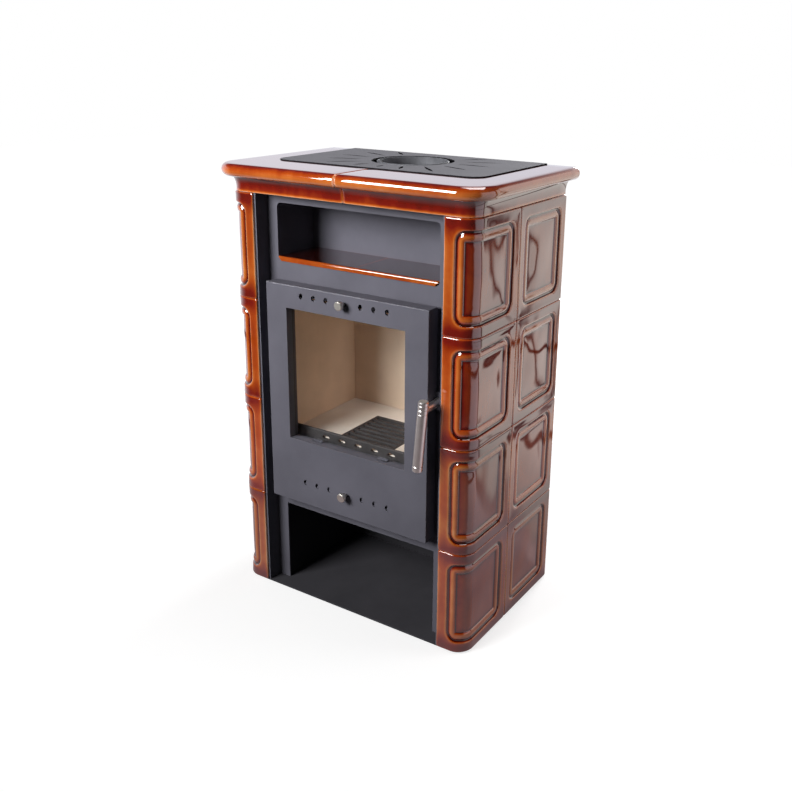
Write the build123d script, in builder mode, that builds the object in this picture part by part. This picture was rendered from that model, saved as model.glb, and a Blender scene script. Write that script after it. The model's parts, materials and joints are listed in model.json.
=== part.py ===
from build123d import *
import math
import os

# Tiled stove. Origin on the floor, in the middle of the tile block; +Z up, the front looks along -Y.
# Depths that start with "y" are places on the Y axis, "x" on the X axis and "z" heights.

# ---------------------------------------------------------------- driving dimensions, millimetres
# tile cladding
tile_rows = 4
tile_pitch = 219.5
tile_joint = 0.5
tile_thickness = 22.0
seat_gap = 0.3
tile_corner_radius = 36.0
tile_edge_chamfer = 2.5
relief_depth = 5.0
relief_inset = 22.0
relief_corner_radius = 20.0
bead_corner_radius = 14.0
bead_inset = 27.5
bead_width = 13.0
bead_drop = 1.8
cladding_width = 582.0
cladding_depth = 372.0
corner_tile_reach = 170.0

# steel body
body_width = 450.0
front_sheet = 4.0
body_sheet = 2.5
inner_sheet = 3.0
base_thickness = 3.0
base_inset = 6.0
flange_setback = 5.0
panel_recess = 34.0
fold_width = 18.0

# niche
niche_width = 390.0
niche_bottom = 741.0
niche_height = 120.0
niche_depth = 116.0
niche_radius = 10.0
niche_sheet = 2.5
shelf_thickness = 9.5
shelf_nosing = 2.5
shelf_nosing_radius = 4.0
shelf_foot_chamfer = 9.2
shelf_gap = 0.5

# wood store and door opening in the front panel
wood_width = 384.0
wood_top = 190.0
opening_width = 340.0
opening_bottom = 248.0
opening_top = 680.0

# inner body: firebox, ash compartment and wood store walls
inner_gap = 25.0
inner_depth = 251.0
inner_clearance = 25.0
ash_floor = 245.0
ledge_top = 350.0
ledge_thickness = 4.0
ledge_opening_width = 240.0
ledge_rim = 26.0
outlet_width = 200.0
outlet_depth = 110.0
outlet_rim = 6.0

# firebox lining
brick_thickness = 25.7
brick_chamfer = 4.0
hearth_rim = 373.0
grate_level = 369.0
grate_width = 138.0
grate_length = 149.0
grate_thickness = 12.0
grate_bars = 8
grate_bar = 9.0
grate_border = 8.0
grate_ledge = 5.0
hearth_front = 13.0
baffle_gap = 4.0
baffle_thickness = 22.0
baffle_length = 160.0
baffle_chamfer = 5.0
guard_thickness = 7.0
guard_width = 336.0
guard_chamfer = 2.0
guard_holes = 5
guard_top = 385.0
guard_hole_width = 19.0
guard_hole_height = 9.0
guard_hole_pitch = 42.0
guard_hole_drop = 13.5

# ash pan
ash_pan_width = 290.0
ash_pan_length = 215.0
ash_pan_height = 70.0
ash_pan_sheet = 2.0
ash_pan_grip = 14.0
ash_pan_grip_width = 96.0
ash_pan_flare = 3.0

# smoke path
chamber_width = 240.0
chamber_depth = 165.0
chamber_gap = 2.5
chamber_hole_margin = 2.0
chamber_top = 903.0
flue_back_distance = 129.0
collar_outer_radius = 75.0
collar_wall = 4.0
collar_height = 37.0
collar_edge = 1.0
collar_flange_width = 10.0
collar_flange_thickness = 4.0

# cornice and top plate
cornice_top = 938.0
cornice_foot_inset = 3.0
bullnose_radius = 13.0
bullnose_reach = 15.5
bullnose_undercut = 120.0
cove_sagitta = 3.0
cornice_wall = 26.0
cornice_slab = 16.0
top_plate_width = 487.0
top_plate_setback = 90.0
top_plate_thickness = 4.0
top_plate_proud = 2.0
top_plate_radius = 32.0
top_plate_gap = 1.5
top_plate_ledge = 10.0
flue_hole_radius = 86.0
slot_count = 16
slot_inner_radius = 106.0
slot_longest = 78.0
slot_width = 7.0
slot_edge_margin = 20.0

# tile rails
rail_width = 20.0
rail_sheet = 2.0
rail_back_inset = 30.0

# door
door_width = 394.0
door_bottom = 227.0
door_height = 477.5
door_proud = 5.0
pan_skin = 3.0
pan_wall = 2.5
pan_depth = 25.0
pan_edge_radius = 1.5
pan_edge_chamfer = 0.9
pan_notch_margin = 0.5
window_width = 290.0
window_bottom = 372.0
window_height = 284.5
window_return = 18.0
window_corner = 1.0
glass_thickness = 4.0
glass_lap = 12.0
glass_gasket_width = 8.0
frame_thickness = 6.0
frame_window_margin = 4.0
frame_corner = 3.0
door_gasket_width = 8.0
door_gasket_lap = 10.0
door_gasket_gap = 0.3
door_gasket_corner = 4.0

# glass clips
clip_width = 24.0
clip_height = 4.5
clip_sheet = 1.5
clip_length = 7.5
clip_spacing = 166.0

# air holes, sliders and knobs
hole_diameter = 12.5
hole_pitch = 31.5
hole_first = 42.0
holes_per_side = 3
hole_row_margin = 19.0
lower_row_margin = 50.5
slider_height = 20.0
slider_sheet = 2.0
slider_end = 14.0
slider_fit = 0.1
upper_rest_shift = -5.5
lower_rest_shift = -9.0
slider_closed_shift = -13.5
guide_wall = 4.0
guide_lip = 6.0
guide_overrun = 12.5
guide_sheet = 2.0
knob_stem_radius = 3.0
knob_neck_radius = 4.5
knob_head_radius = 9.5
knob_length = 18.0
knob_neck_end = 7.0
knob_head_length = 7.0
knob_edge = 1.5
knob_gap = 1.0
knob_slot_fit = 0.4
air_slot_height = 8.0
air_slot_width = 60.0
air_slot_pitch = 84.0
air_slots = 3
upper_air_slot_drop = 32.0

# hinge
hinge_inset = 9.0
hinge_depth = 12.0
hinge_low_level = 73.0
hinge_high_level = 397.0
hinge_arm_width = 10.0
hinge_arm_thickness = 6.0
hinge_eye_radius = 6.0
hinge_pin_radius = 3.0
hinge_pin_fit = 0.06
hinge_lug_height = 14.0
hinge_side_gap = 0.3
hinge_clearance = 2.0
hinge_foot_width = 34.0
hinge_foot_height = 44.0
hinge_foot_thickness = 3.0
screw_head_radius = 4.0
screw_head_height = 2.4

# latch and handle
stem_x = 207.5
stem_z = 522.0
stem_radius = 8.0
stem_front = 30.0
collar_width = 6.0
collar_slope = 1.5
collar_rise = 0.8
shaft_radius = 5.0
shaft_fit = 0.05
bush_wall = 2.0
bush_flange = 2.0
bush_gap = 0.3
ear_height = 36.0
ear_overhang = 11.5
ear_root = 12.0
ear_chamfer = 6.0
tongue_reach = 24.0
tongue_width = 8.0
tongue_thickness = 4.0
tongue_hub_radius = 9.0
tongue_gap = 1.0
keeper_gap = 0.5
keeper_lip = 4.0
keeper_wall = 5.0
keeper_height = 17.0
keeper_bite = 5.0
grip_tilt = 5.0
grip_radius = 10.0
grip_above = 19.0
grip_below = 126.0
grip_setback = 8.0
grip_groove_depth = 0.9
grip_groove_half = 1.3
grip_groove_places = (-114.0, -6.0, 2.5, 11.0)
grip_edge = 2.0

# ---------------------------------------------------------------- places that follow
half_width = cladding_width / 2
y_tile = -cladding_depth / 2
y_back = cladding_depth / 2
y_flange = y_tile + flange_setback
y_panel = y_flange + panel_recess
y_panel_back = y_panel + front_sheet
z_rows = base_thickness
z_tiles = base_thickness + tile_rows * tile_pitch
half_body = body_width / 2
x_flange = half_body - front_sheet
half_inner = half_body - inner_gap
z_inner_top = niche_bottom - inner_clearance
z_baffle = z_inner_top - baffle_gap - baffle_thickness
y_inner_back = y_panel_back + inner_depth
z_cornice_slab = cornice_top - cornice_slab
z_plate = cornice_top + top_plate_proud - top_plate_thickness
y_plate = y_tile + top_plate_setback
flue_y = y_back - flue_back_distance
y_niche_back = y_panel + niche_depth
y_chamber = y_niche_back + niche_sheet + chamber_gap
y_corner_end = y_tile + corner_tile_reach
x_tile_start = half_body + seat_gap

half_door = door_width / 2
z_door_top = door_bottom + door_height
y_door = y_flange - door_proud
y_skin = y_door + pan_skin
y_frame = y_door + pan_depth
y_frame_back = y_frame + frame_thickness
z_window_top = window_bottom + window_height
y_glass = y_door + window_return
y_glass_back = y_glass + glass_thickness
z_upper_row = z_door_top - hole_row_margin
z_lower_row = door_bottom + lower_row_margin
x_hinge = -half_door + hinge_inset
y_hinge = y_flange + hinge_depth
y_grip = y_flange - stem_front - grip_setback
hole_last = hole_first + (holes_per_side - 1) * hole_pitch

os.makedirs("parts", exist_ok=True)


def write(piece, name):
    """Names a finished piece and writes its file."""
    piece.part.label = name
    export_step(piece.part, f"parts/{name}.step")


def block(x, y, z, mode=Mode.ADD):
    """A cuboid between the given ranges along X, Y and Z, for plain sheets and cut-outs."""
    with BuildSketch(Plane.XY.offset(z[0])) as outline:
        with Locations(((x[0] + x[1]) / 2, (y[0] + y[1]) / 2)):
            Rectangle(x[1] - x[0], y[1] - y[0])
    extrude(outline.sketch, amount=z[1] - z[0], mode=mode)


def facing(x, y, z):
    """The upright plane through a point that looks to the front, with its own Y axis upwards."""
    return Plane(origin=(x, y, z), x_dir=(1, 0, 0), z_dir=(0, -1, 0))


def panel(width, height, radius):
    """A rectangle in the sketch at hand, with sharp corners where the radius is zero."""
    if radius > 0:
        RectangleRounded(width, height, radius)
    else:
        Rectangle(width, height)


def upright(y, width, z, radius, depth, mode=Mode.ADD, x=0.0):
    """A rectangle with such corners standing in the plane Y = y, extruded towards +Y by depth."""
    with BuildSketch(facing(x, y, (z[0] + z[1]) / 2)) as outline:
        panel(width, z[1] - z[0], radius)
    extrude(outline.sketch, amount=-depth, mode=mode)


def corner_band(outer, inner, z):
    """A layer of the corner tile between two depths below its glazed face, from beside the flange
    round the corner to the joint with the side tile."""
    x_bend = half_width - tile_corner_radius
    y_bend = y_tile + tile_corner_radius
    turn = math.sin(math.radians(45))
    mid_outer = tile_corner_radius - outer
    mid_inner = tile_corner_radius - inner
    with BuildSketch(Plane.XY.offset(z[0])) as outline:
        with BuildLine():
            Line((x_tile_start, y_tile + inner), (x_tile_start, y_tile + outer))
            Line((x_tile_start, y_tile + outer), (x_bend, y_tile + outer))
            ThreePointArc(
                (x_bend, y_tile + outer),
                (x_bend + mid_outer * turn, y_bend - mid_outer * turn),
                (half_width - outer, y_bend),
            )
            Line((half_width - outer, y_bend), (half_width - outer, y_corner_end))
            Line((half_width - outer, y_corner_end), (half_width - inner, y_corner_end))
            Line((half_width - inner, y_corner_end), (half_width - inner, y_bend))
            ThreePointArc(
                (half_width - inner, y_bend),
                (x_bend + mid_inner * turn, y_bend - mid_inner * turn),
                (x_bend, y_tile + inner),
            )
            Line((x_bend, y_tile + inner), (x_tile_start, y_tile + inner))
        make_face()
    extrude(outline.sketch, amount=z[1] - z[0])


# ---------------------------------------------------------------- steel body
# Base plate: carries body and tiles, set in under the tile faces, open to the front between the flanges.
with BuildPart() as base_plate:
    with BuildSketch():
        with Locations((0, (y_flange + y_back) / 2)):
            Rectangle(cladding_width - 2 * base_inset, y_back - y_flange)
        fillet(vertices().group_by(Axis.Y)[0], tile_corner_radius - base_inset)
    extrude(amount=base_thickness)
write(base_plate, "base_plate")

# Front frame: one folded sheet, a panel behind two side flanges, with its three openings.
with BuildPart() as front_frame:
    block((-half_body, half_body), (y_flange, y_panel_back), (base_thickness, z_tiles))
    block((-x_flange, x_flange), (y_flange, y_panel), (base_thickness, z_tiles), Mode.SUBTRACT)
    upright(
        y_panel, niche_width, (niche_bottom, niche_bottom + niche_height), niche_radius,
        front_sheet, Mode.SUBTRACT,
    )
    upright(
        y_panel, opening_width, (opening_bottom, opening_top), niche_radius, front_sheet, Mode.SUBTRACT
    )
    block(
        (-wood_width / 2, wood_width / 2), (y_panel, y_panel_back), (base_thickness, wood_top),
        Mode.SUBTRACT,
    )
write(front_frame, "front_frame")

# Side walls: sheets with a fold at the front and at the back.
with BuildPart() as side_wall_right:
    y_side = (y_panel_back, y_back - body_sheet)
    block((half_body - fold_width, half_body), y_side, (base_thickness, z_tiles))
    y_between = (y_side[0] + body_sheet, y_side[1] - body_sheet)
    x_between = (half_body - fold_width, half_body - body_sheet)
    block(x_between, y_between, (base_thickness, z_tiles), Mode.SUBTRACT)
write(side_wall_right, "side_wall_right")

with BuildPart() as side_wall_left:
    mirror(side_wall_right.part, about=Plane.YZ)
write(side_wall_left, "side_wall_left")

# Back wall: a plain sheet that also carries the back edge of the top plate.
with BuildPart() as back_wall:
    block((-half_body, half_body), (y_back - body_sheet, y_back), (base_thickness, z_plate))
write(back_wall, "back_wall")

# Inner body: welded walls round the wood store, the ash compartment and the firebox, open to the front.
with BuildPart() as inner_body:
    block((-half_inner, half_inner), (y_panel_back, y_inner_back), (base_thickness, z_inner_top))
    x_room = (-half_inner + inner_sheet, half_inner - inner_sheet)
    y_room = (y_panel_back, y_inner_back - inner_sheet)
    block(x_room, y_room, (base_thickness, ash_floor - inner_sheet), Mode.SUBTRACT)
    block(x_room, y_room, (ash_floor, ledge_top - ledge_thickness), Mode.SUBTRACT)
    block(x_room, y_room, (ledge_top, z_inner_top - inner_sheet), Mode.SUBTRACT)
    block(
        (-ledge_opening_width / 2, ledge_opening_width / 2),
        (y_room[0] + ledge_rim, y_room[1] - ledge_rim),
        (ledge_top - ledge_thickness, ledge_top), Mode.SUBTRACT,
    )
    y_outlet = (y_inner_back - outlet_rim - outlet_depth, y_inner_back - outlet_rim)
    block(
        (-outlet_width / 2, outlet_width / 2), y_outlet, (z_inner_top - inner_sheet, z_inner_top),
        Mode.SUBTRACT,
    )
write(inner_body, "inner_body")

# Niche box behind the upper opening.
with BuildPart() as niche_box:
    niche_outer = niche_width + 2 * niche_sheet
    z_niche = (niche_bottom - niche_sheet, niche_bottom + niche_height + niche_sheet)
    upright(
        y_panel_back, niche_outer, z_niche, niche_radius + niche_sheet,
        y_niche_back + niche_sheet - y_panel_back,
    )
    upright(
        y_panel_back, niche_width, (niche_bottom, niche_bottom + niche_height), niche_radius,
        y_niche_back - y_panel_back, Mode.SUBTRACT,
    )
write(niche_box, "niche_box")

# Shelf tiles: two glazed slabs with a rounded nosing, meeting in the middle of the niche.
with BuildPart() as shelf_tile_right:
    x_shelf = (shelf_gap / 2, niche_width / 2 - shelf_gap)
    y_shelf = (y_panel - shelf_nosing, y_niche_back - shelf_gap)
    z_shelf = (niche_bottom + seat_gap, niche_bottom + seat_gap + shelf_thickness)
    block(x_shelf, y_shelf, z_shelf)
    outer_foot = shelf_tile_right.edges().filter_by(Axis.Y).group_by(Axis.Z)[0].sort_by(Axis.X)[-1]
    chamfer(outer_foot, shelf_foot_chamfer)
    nosing = shelf_tile_right.faces().sort_by(Axis.Y)[0].edges().filter_by(Axis.X).sort_by(Axis.Z)[-1]
    fillet(nosing, shelf_nosing_radius)
write(shelf_tile_right, "shelf_tile_right")

with BuildPart() as shelf_tile_left:
    mirror(shelf_tile_right.part, about=Plane.YZ)
write(shelf_tile_left, "shelf_tile_left")

# ---------------------------------------------------------------- firebox lining
x_lining = half_inner - inner_sheet - seat_gap
y_lining = y_panel_back + seat_gap
y_lining_back = y_inner_back - inner_sheet - seat_gap
x_fire = x_lining - brick_thickness
y_fire_back = y_lining_back - brick_thickness - seat_gap
y_guard_back = y_lining + guard_thickness
y_grate = y_guard_back + hearth_front

# Hopper over the grate: where a trough along Y and a trough along X cross.
grate_half = grate_width / 2 + seat_gap
y_grate_back = y_grate + grate_length + 2 * seat_gap
y_beyond = y_grate - 2 * hearth_front
with BuildPart() as hopper:
    with BuildSketch(facing(0, y_beyond, 0)):
        with BuildLine():
            Polyline(
                (-x_fire, hearth_rim), (x_fire, hearth_rim), (grate_half, grate_level),
                (-grate_half, grate_level), close=True,
            )
        make_face()
    extrude(amount=y_beyond - y_fire_back)
    with BuildSketch(Plane.YZ):
        with BuildLine():
            Polyline(
                (y_beyond, hearth_rim), (y_fire_back, hearth_rim), (y_grate_back, grate_level),
                (y_beyond, grate_level), close=True,
            )
        make_face()
    extrude(amount=x_fire, both=True, mode=Mode.INTERSECT)

# Hearth stone: a ring that slopes from the walls down to the grate, on the ledge of the inner body.
with BuildPart() as hearth_stone:
    block((-x_lining, x_lining), (y_guard_back + seat_gap, y_lining_back), (ledge_top, hearth_rim))
    add(hopper.part, mode=Mode.SUBTRACT)
    z_seat = grate_level - grate_thickness
    block((-grate_half, grate_half), (y_grate, y_grate_back), (z_seat, grate_level), Mode.SUBTRACT)
    x_throat = grate_half - grate_ledge
    y_throat = (y_grate + grate_ledge, y_grate_back - grate_ledge)
    block((-x_throat, x_throat), y_throat, (ledge_top, z_seat), Mode.SUBTRACT)
write(hearth_stone, "hearth_stone")

# Grate: bars along X between two borders.
with BuildPart() as grate:
    with BuildSketch(Plane.XY.offset(z_seat)):
        y_grate_middle = (y_grate + y_grate_back) / 2
        with Locations((0, y_grate_middle)):
            Rectangle(grate_width, grate_length)
            bar_pitch = (grate_length - 2 * grate_border + grate_bar) / grate_bars
            slot_gap = bar_pitch - grate_bar
            with GridLocations(0, bar_pitch, 1, grate_bars):
                Rectangle(grate_width - 2 * grate_border, slot_gap, mode=Mode.SUBTRACT)
    extrude(amount=grate_thickness)
write(grate, "grate")

# Log guard: a cast strip in front of the hearth with five oval openings.
with BuildPart() as log_guard:
    block((-guard_width / 2, guard_width / 2), (y_lining, y_guard_back), (ledge_top, guard_top))
    chamfer(log_guard.edges().filter_by(Axis.X).group_by(Axis.Z)[-1], guard_chamfer)
    with BuildSketch(facing(0, y_lining, guard_top - guard_hole_drop)):
        with GridLocations(guard_hole_pitch, 0, guard_holes, 1):
            Ellipse(guard_hole_width / 2, guard_hole_height / 2)
    extrude(amount=-guard_thickness, mode=Mode.SUBTRACT)
write(log_guard, "log_guard")

# Side bricks stand on the hearth rim and carry the baffle.
z_brick = (hearth_rim, z_baffle)
with BuildPart() as brick_right:
    block((x_fire, x_lining), (y_lining, y_lining_back), z_brick)
    chamfer(brick_right.edges().filter_by(Axis.Z).group_by(Axis.X)[0].sort_by(Axis.Y)[0], brick_chamfer)
write(brick_right, "brick_right")

with BuildPart() as brick_left:
    mirror(brick_right.part, about=Plane.YZ)
write(brick_left, "brick_left")

with BuildPart() as brick_back:
    x_back_brick = x_fire - seat_gap
    block((-x_back_brick, x_back_brick), (y_fire_back + seat_gap, y_lining_back), z_brick)
write(brick_back, "brick_back")

# Baffle: lies on the side bricks and leaves the smoke a way up at the back.
with BuildPart() as baffle:
    x_baffle = x_lining - seat_gap
    block((-x_baffle, x_baffle), (y_lining, y_lining + baffle_length),
          (z_baffle, z_baffle + baffle_thickness))
    chamfer(baffle.edges().filter_by(Axis.X).group_by(Axis.Y)[-1], baffle_chamfer)
write(baffle, "baffle")

# Ash pan: an open tray with tapered walls and a grip lip, on the ash floor.
with BuildPart() as ash_pan:
    y_pan_middle = y_panel_back + ledge_rim + ash_pan_length / 2
    with BuildSketch(Plane.XY.offset(ash_floor)):
        with Locations((0, y_pan_middle)):
            Rectangle(ash_pan_width, ash_pan_length)
    extrude(amount=ash_pan_height, taper=-ash_pan_flare)
    offset(amount=-ash_pan_sheet, openings=ash_pan.faces().sort_by(Axis.Z)[-1])
    y_lip = ash_pan.part.bounding_box().min.Y
    z_lip = ash_floor + ash_pan_height
    block(
        (-ash_pan_grip_width / 2, ash_pan_grip_width / 2), (y_lip - ash_pan_grip, y_lip + ash_pan_sheet),
        (z_lip - ash_pan_sheet, z_lip),
    )
write(ash_pan, "ash_pan")

# ---------------------------------------------------------------- smoke path
# Smoke chamber: stands on the inner body behind the niche and leads up to the collar.
with BuildPart() as smoke_chamber:
    y_chamber_back = y_chamber + chamber_depth
    half_chamber = chamber_width / 2
    block((-half_chamber, half_chamber), (y_chamber, y_chamber_back), (z_inner_top, chamber_top))
    block(
        (-half_chamber + inner_sheet, half_chamber - inner_sheet),
        (y_chamber + inner_sheet, y_chamber_back - inner_sheet),
        (z_inner_top + inner_sheet, chamber_top - inner_sheet), Mode.SUBTRACT,
    )
    block(
        (-outlet_width / 2, outlet_width / 2), y_outlet, (z_inner_top, z_inner_top + inner_sheet),
        Mode.SUBTRACT,
    )
    with BuildSketch(Plane.XY.offset(chamber_top)):
        with Locations((0, flue_y)):
            Circle(collar_outer_radius - collar_wall + chamber_hole_margin)
    extrude(amount=-inner_sheet, mode=Mode.SUBTRACT)
write(smoke_chamber, "smoke_chamber")

# Flue collar: a turned ring with a foot flange.
with BuildPart() as flue_collar:
    bore_radius = collar_outer_radius - collar_wall
    with BuildSketch(facing(0, flue_y, chamber_top)):
        with BuildLine():
            Polyline(
                (bore_radius, 0),
                (collar_outer_radius + collar_flange_width, 0),
                (collar_outer_radius + collar_flange_width, collar_flange_thickness),
                (collar_outer_radius, collar_flange_thickness),
                (collar_outer_radius, collar_height - collar_edge),
                (collar_outer_radius - collar_edge, collar_height),
                (bore_radius, collar_height),
                close=True,
            )
        make_face()
    revolve(axis=Axis((0, flue_y, 0), (0, 0, 1)))
write(flue_collar, "flue_collar")

# ---------------------------------------------------------------- cornice and top plate
# Cornice, right half: cove and bullnose swept round the corner, with a flat slab that carries the plate.
x_foot = half_width - cornice_foot_inset
y_foot = y_tile + cornice_foot_inset
foot_radius = tile_corner_radius - cornice_foot_inset
half_plate = top_plate_width / 2
with BuildPart() as cornice_right:
    with BuildLine(Plane.XY.offset(z_tiles)) as cornice_path:
        FilletPolyline(
            (shelf_gap / 2, y_foot), (x_foot, y_foot), (x_foot, y_back), radius=foot_radius
        )
    section = Plane(origin=(shelf_gap / 2, y_foot, z_tiles), x_dir=(0, -1, 0), z_dir=(-1, 0, 0))
    with BuildSketch(section):
        rise = cornice_top - z_tiles
        undercut = math.radians(bullnose_undercut)
        nose_end = (
            bullnose_reach + bullnose_radius * math.cos(undercut),
            rise - bullnose_radius - bullnose_radius * math.sin(undercut),
        )
        with BuildLine():
            ThreePointArc(
                (bullnose_reach, rise), (bullnose_reach + bullnose_radius, rise - bullnose_radius), nose_end
            )
            SagittaArc(nose_end, (0, 0), cove_sagitta)
            Polyline((0, 0), (-cornice_wall, 0), (-cornice_wall, rise), (bullnose_reach, rise))
        make_face()
    sweep(path=cornice_path.line)
    with BuildSketch(Plane.XY.offset(z_cornice_slab)):
        with Locations(((shelf_gap / 2 + x_foot) / 2, (y_foot + y_back) / 2)):
            Rectangle(x_foot - shelf_gap / 2, y_back - y_foot)
        fillet(vertices().group_by(Axis.Y)[0].sort_by(Axis.X)[-1], foot_radius)
    extrude(amount=cornice_slab)
    x_rebate = half_plate + top_plate_gap
    y_rebate = y_plate - top_plate_gap
    for edge_shift, radius_shift, z_cut in (
        (0, 0, (z_plate, cornice_top)),
        (-top_plate_ledge, -top_plate_ledge, (z_cornice_slab, z_plate)),
    ):
        x_cut = x_rebate + edge_shift
        y_cut = y_rebate - edge_shift
        with BuildSketch(Plane.XY.offset(z_cut[0])):
            with Locations((0, (y_cut + y_back) / 2)):
                Rectangle(2 * x_cut, y_back - y_cut)
            fillet(vertices().group_by(Axis.Y)[0], top_plate_radius + top_plate_gap + radius_shift)
        extrude(amount=z_cut[1] - z_cut[0], mode=Mode.SUBTRACT)
write(cornice_right, "cornice_right")

with BuildPart() as cornice_left:
    mirror(cornice_right.part, about=Plane.YZ)
write(cornice_left, "cornice_left")


def slot_length(angle):
    """Length of the leaf slot at an angle: the longest one, or less where the plate's edge is near."""
    across = abs(math.cos(angle))
    along = math.sin(angle)
    reach_x = half_plate / across if across > 0.01 else math.inf
    y_edge = y_back if along > 0 else y_plate
    reach_y = (y_edge - flue_y) / along if abs(along) > 0.01 else math.inf
    room = min(reach_x, reach_y) - slot_edge_margin - slot_inner_radius
    return min(slot_longest, room)


# Top plate: thin steel with the flue hole and leaf-shaped slots that radiate from it.
with BuildPart() as top_plate:
    with BuildSketch(Plane.XY.offset(z_plate)):
        with Locations((0, (y_plate + y_back) / 2)):
            Rectangle(top_plate_width, y_back - y_plate)
        fillet(vertices().group_by(Axis.Y)[0], top_plate_radius)
        with Locations((0, flue_y)):
            Circle(flue_hole_radius, mode=Mode.SUBTRACT)
    extrude(amount=top_plate_thickness)
    for number in range(slot_count):
        direction = 2 * math.pi * number / slot_count
        length = slot_length(direction)
        if length < 2 * slot_width:
            continue
        start = Vector(slot_inner_radius, 0)
        leaf_plane = Plane(
            origin=(0, flue_y, z_plate), x_dir=(math.cos(direction), math.sin(direction), 0),
            z_dir=(0, 0, 1),
        )
        with BuildSketch(leaf_plane):
            with BuildLine():
                leaf_tip = (start.X + length, 0)
                ThreePointArc((start.X, 0), (start.X + length / 2, slot_width / 2), leaf_tip)
                ThreePointArc(leaf_tip, (start.X + length / 2, -slot_width / 2), (start.X, 0))
            make_face()
        extrude(amount=top_plate_thickness, mode=Mode.SUBTRACT)
write(top_plate, "top_plate")

# ---------------------------------------------------------------- tiles
tile_height = tile_pitch - tile_joint
z_tile = (z_rows, z_rows + tile_height)


def corner_layer(outer, inner, inset, radius):
    """Corner-tile layer whose outline lies inset from the tile's border, with corners of that radius."""
    z_layer = (z_tile[0] + inset, z_tile[1] - inset)
    x_layer = x_tile_start + inset
    y_layer = y_corner_end - inset
    with BuildPart() as layer:
        corner_band(outer, inner, z_layer)
        upright(
            y_tile, corner_tile_reach, z_layer, radius, corner_tile_reach,
            Mode.INTERSECT, x_layer + corner_tile_reach / 2,
        )
        from_side = Plane(
            origin=(half_width, y_layer - corner_tile_reach / 2, (z_layer[0] + z_layer[1]) / 2),
            x_dir=(0, 1, 0), z_dir=(1, 0, 0),
        )
        with BuildSketch(from_side) as outline:
            panel(corner_tile_reach, z_layer[1] - z_layer[0], radius)
        extrude(outline.sketch, amount=-corner_tile_reach, mode=Mode.INTERSECT)
    return layer.part


pocket = corner_layer(0, relief_depth, relief_inset, relief_corner_radius)
bead_outside = corner_layer(bead_drop, relief_depth, bead_inset, bead_corner_radius)
bead_inside = corner_layer(bead_drop, relief_depth, bead_inset + bead_width, 0)

# Corner tile of the right side: a slab bent round the corner, with a sunk field and a raised bead.
with BuildPart() as corner_tile:
    corner_band(0, tile_thickness, z_tile)
    front = corner_tile.faces().sort_by(Axis.Y)[0]
    side = corner_tile.faces().sort_by(Axis.X)[-1]
    bend = corner_tile.faces().filter_by(GeomType.CYLINDER).sort_by(SortBy.AREA)[-1]
    rims = (front.edges() + bend.edges() + side.edges()).filter_by(Axis.Z, reverse=True)
    rims.append(front.edges().filter_by(Axis.Z).sort_by(Axis.X)[0])
    rims.append(side.edges().filter_by(Axis.Z).sort_by(Axis.Y)[-1])
    chamfer(rims, tile_edge_chamfer)
    add(pocket, mode=Mode.SUBTRACT)
    add(bead_outside)
    add(bead_inside, mode=Mode.SUBTRACT)


# Side tile of the right side, the same section without the bend.
y_side_tile = (y_corner_end + tile_joint, y_back)
y_side_middle = (y_side_tile[0] + y_side_tile[1]) / 2
side_tile_width = y_side_tile[1] - y_side_tile[0]


def side_field(drop, inset, radius, mode):
    """A layer of the side tile's relief: a rounded rectangle from drop down to the field."""
    plane = Plane(
        origin=(half_width - relief_depth, y_side_middle, (z_tile[0] + z_tile[1]) / 2),
        x_dir=(0, 1, 0), z_dir=(1, 0, 0),
    )
    with BuildSketch(plane) as outline:
        panel(side_tile_width - 2 * inset, tile_height - 2 * inset, radius)
    extrude(outline.sketch, amount=relief_depth - drop, mode=mode)


with BuildPart() as side_tile:
    block((half_width - tile_thickness, half_width), y_side_tile, z_tile)
    chamfer(side_tile.faces().sort_by(Axis.X)[-1].edges(), tile_edge_chamfer)
    side_field(0, relief_inset, relief_corner_radius, Mode.SUBTRACT)
    side_field(bead_drop, bead_inset, bead_corner_radius, Mode.ADD)
    side_field(bead_drop, bead_inset + bead_width, 0, Mode.SUBTRACT)

for row in range(tile_rows):
    for kind, pattern in (("corner_tile", corner_tile), ("side_tile", side_tile)):
        with BuildPart() as tile_right:
            with Locations((0, 0, row * tile_pitch)):
                add(pattern.part)
        write(tile_right, f"{kind}_right_{row + 1}")
        with BuildPart() as tile_left:
            mirror(tile_right.part, about=Plane.YZ)
        write(tile_left, f"{kind}_left_{row + 1}")

# Tile rails: Z-shaped strips that hold the tiles off the steel body.
with BuildPart() as tile_rails:
    x_rail = (half_body, half_width - tile_thickness)
    for y_rail in (y_corner_end, y_back - rail_back_inset):
        with BuildSketch(Plane.XY.offset(base_thickness)):
            with BuildLine():
                Polyline(
                    (x_rail[0], y_rail - rail_width),
                    (x_rail[0] + rail_sheet, y_rail - rail_width),
                    (x_rail[0] + rail_sheet, y_rail - rail_sheet),
                    (x_rail[1], y_rail - rail_sheet),
                    (x_rail[1], y_rail + rail_width),
                    (x_rail[1] - rail_sheet, y_rail + rail_width),
                    (x_rail[1] - rail_sheet, y_rail),
                    (x_rail[0], y_rail),
                    close=True,
                )
            make_face()
        extrude(amount=z_tiles - base_thickness)
    mirror(tile_rails.part, about=Plane.YZ)
write(tile_rails, "tile_rails")

# ---------------------------------------------------------------- hinge, on the body
z_hinges = (door_bottom + hinge_low_level, door_bottom + hinge_high_level)
y_foot_plate = y_panel - hinge_foot_thickness
x_foot_plate = x_hinge + hinge_arm_width / 2 - hinge_foot_width

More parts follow.
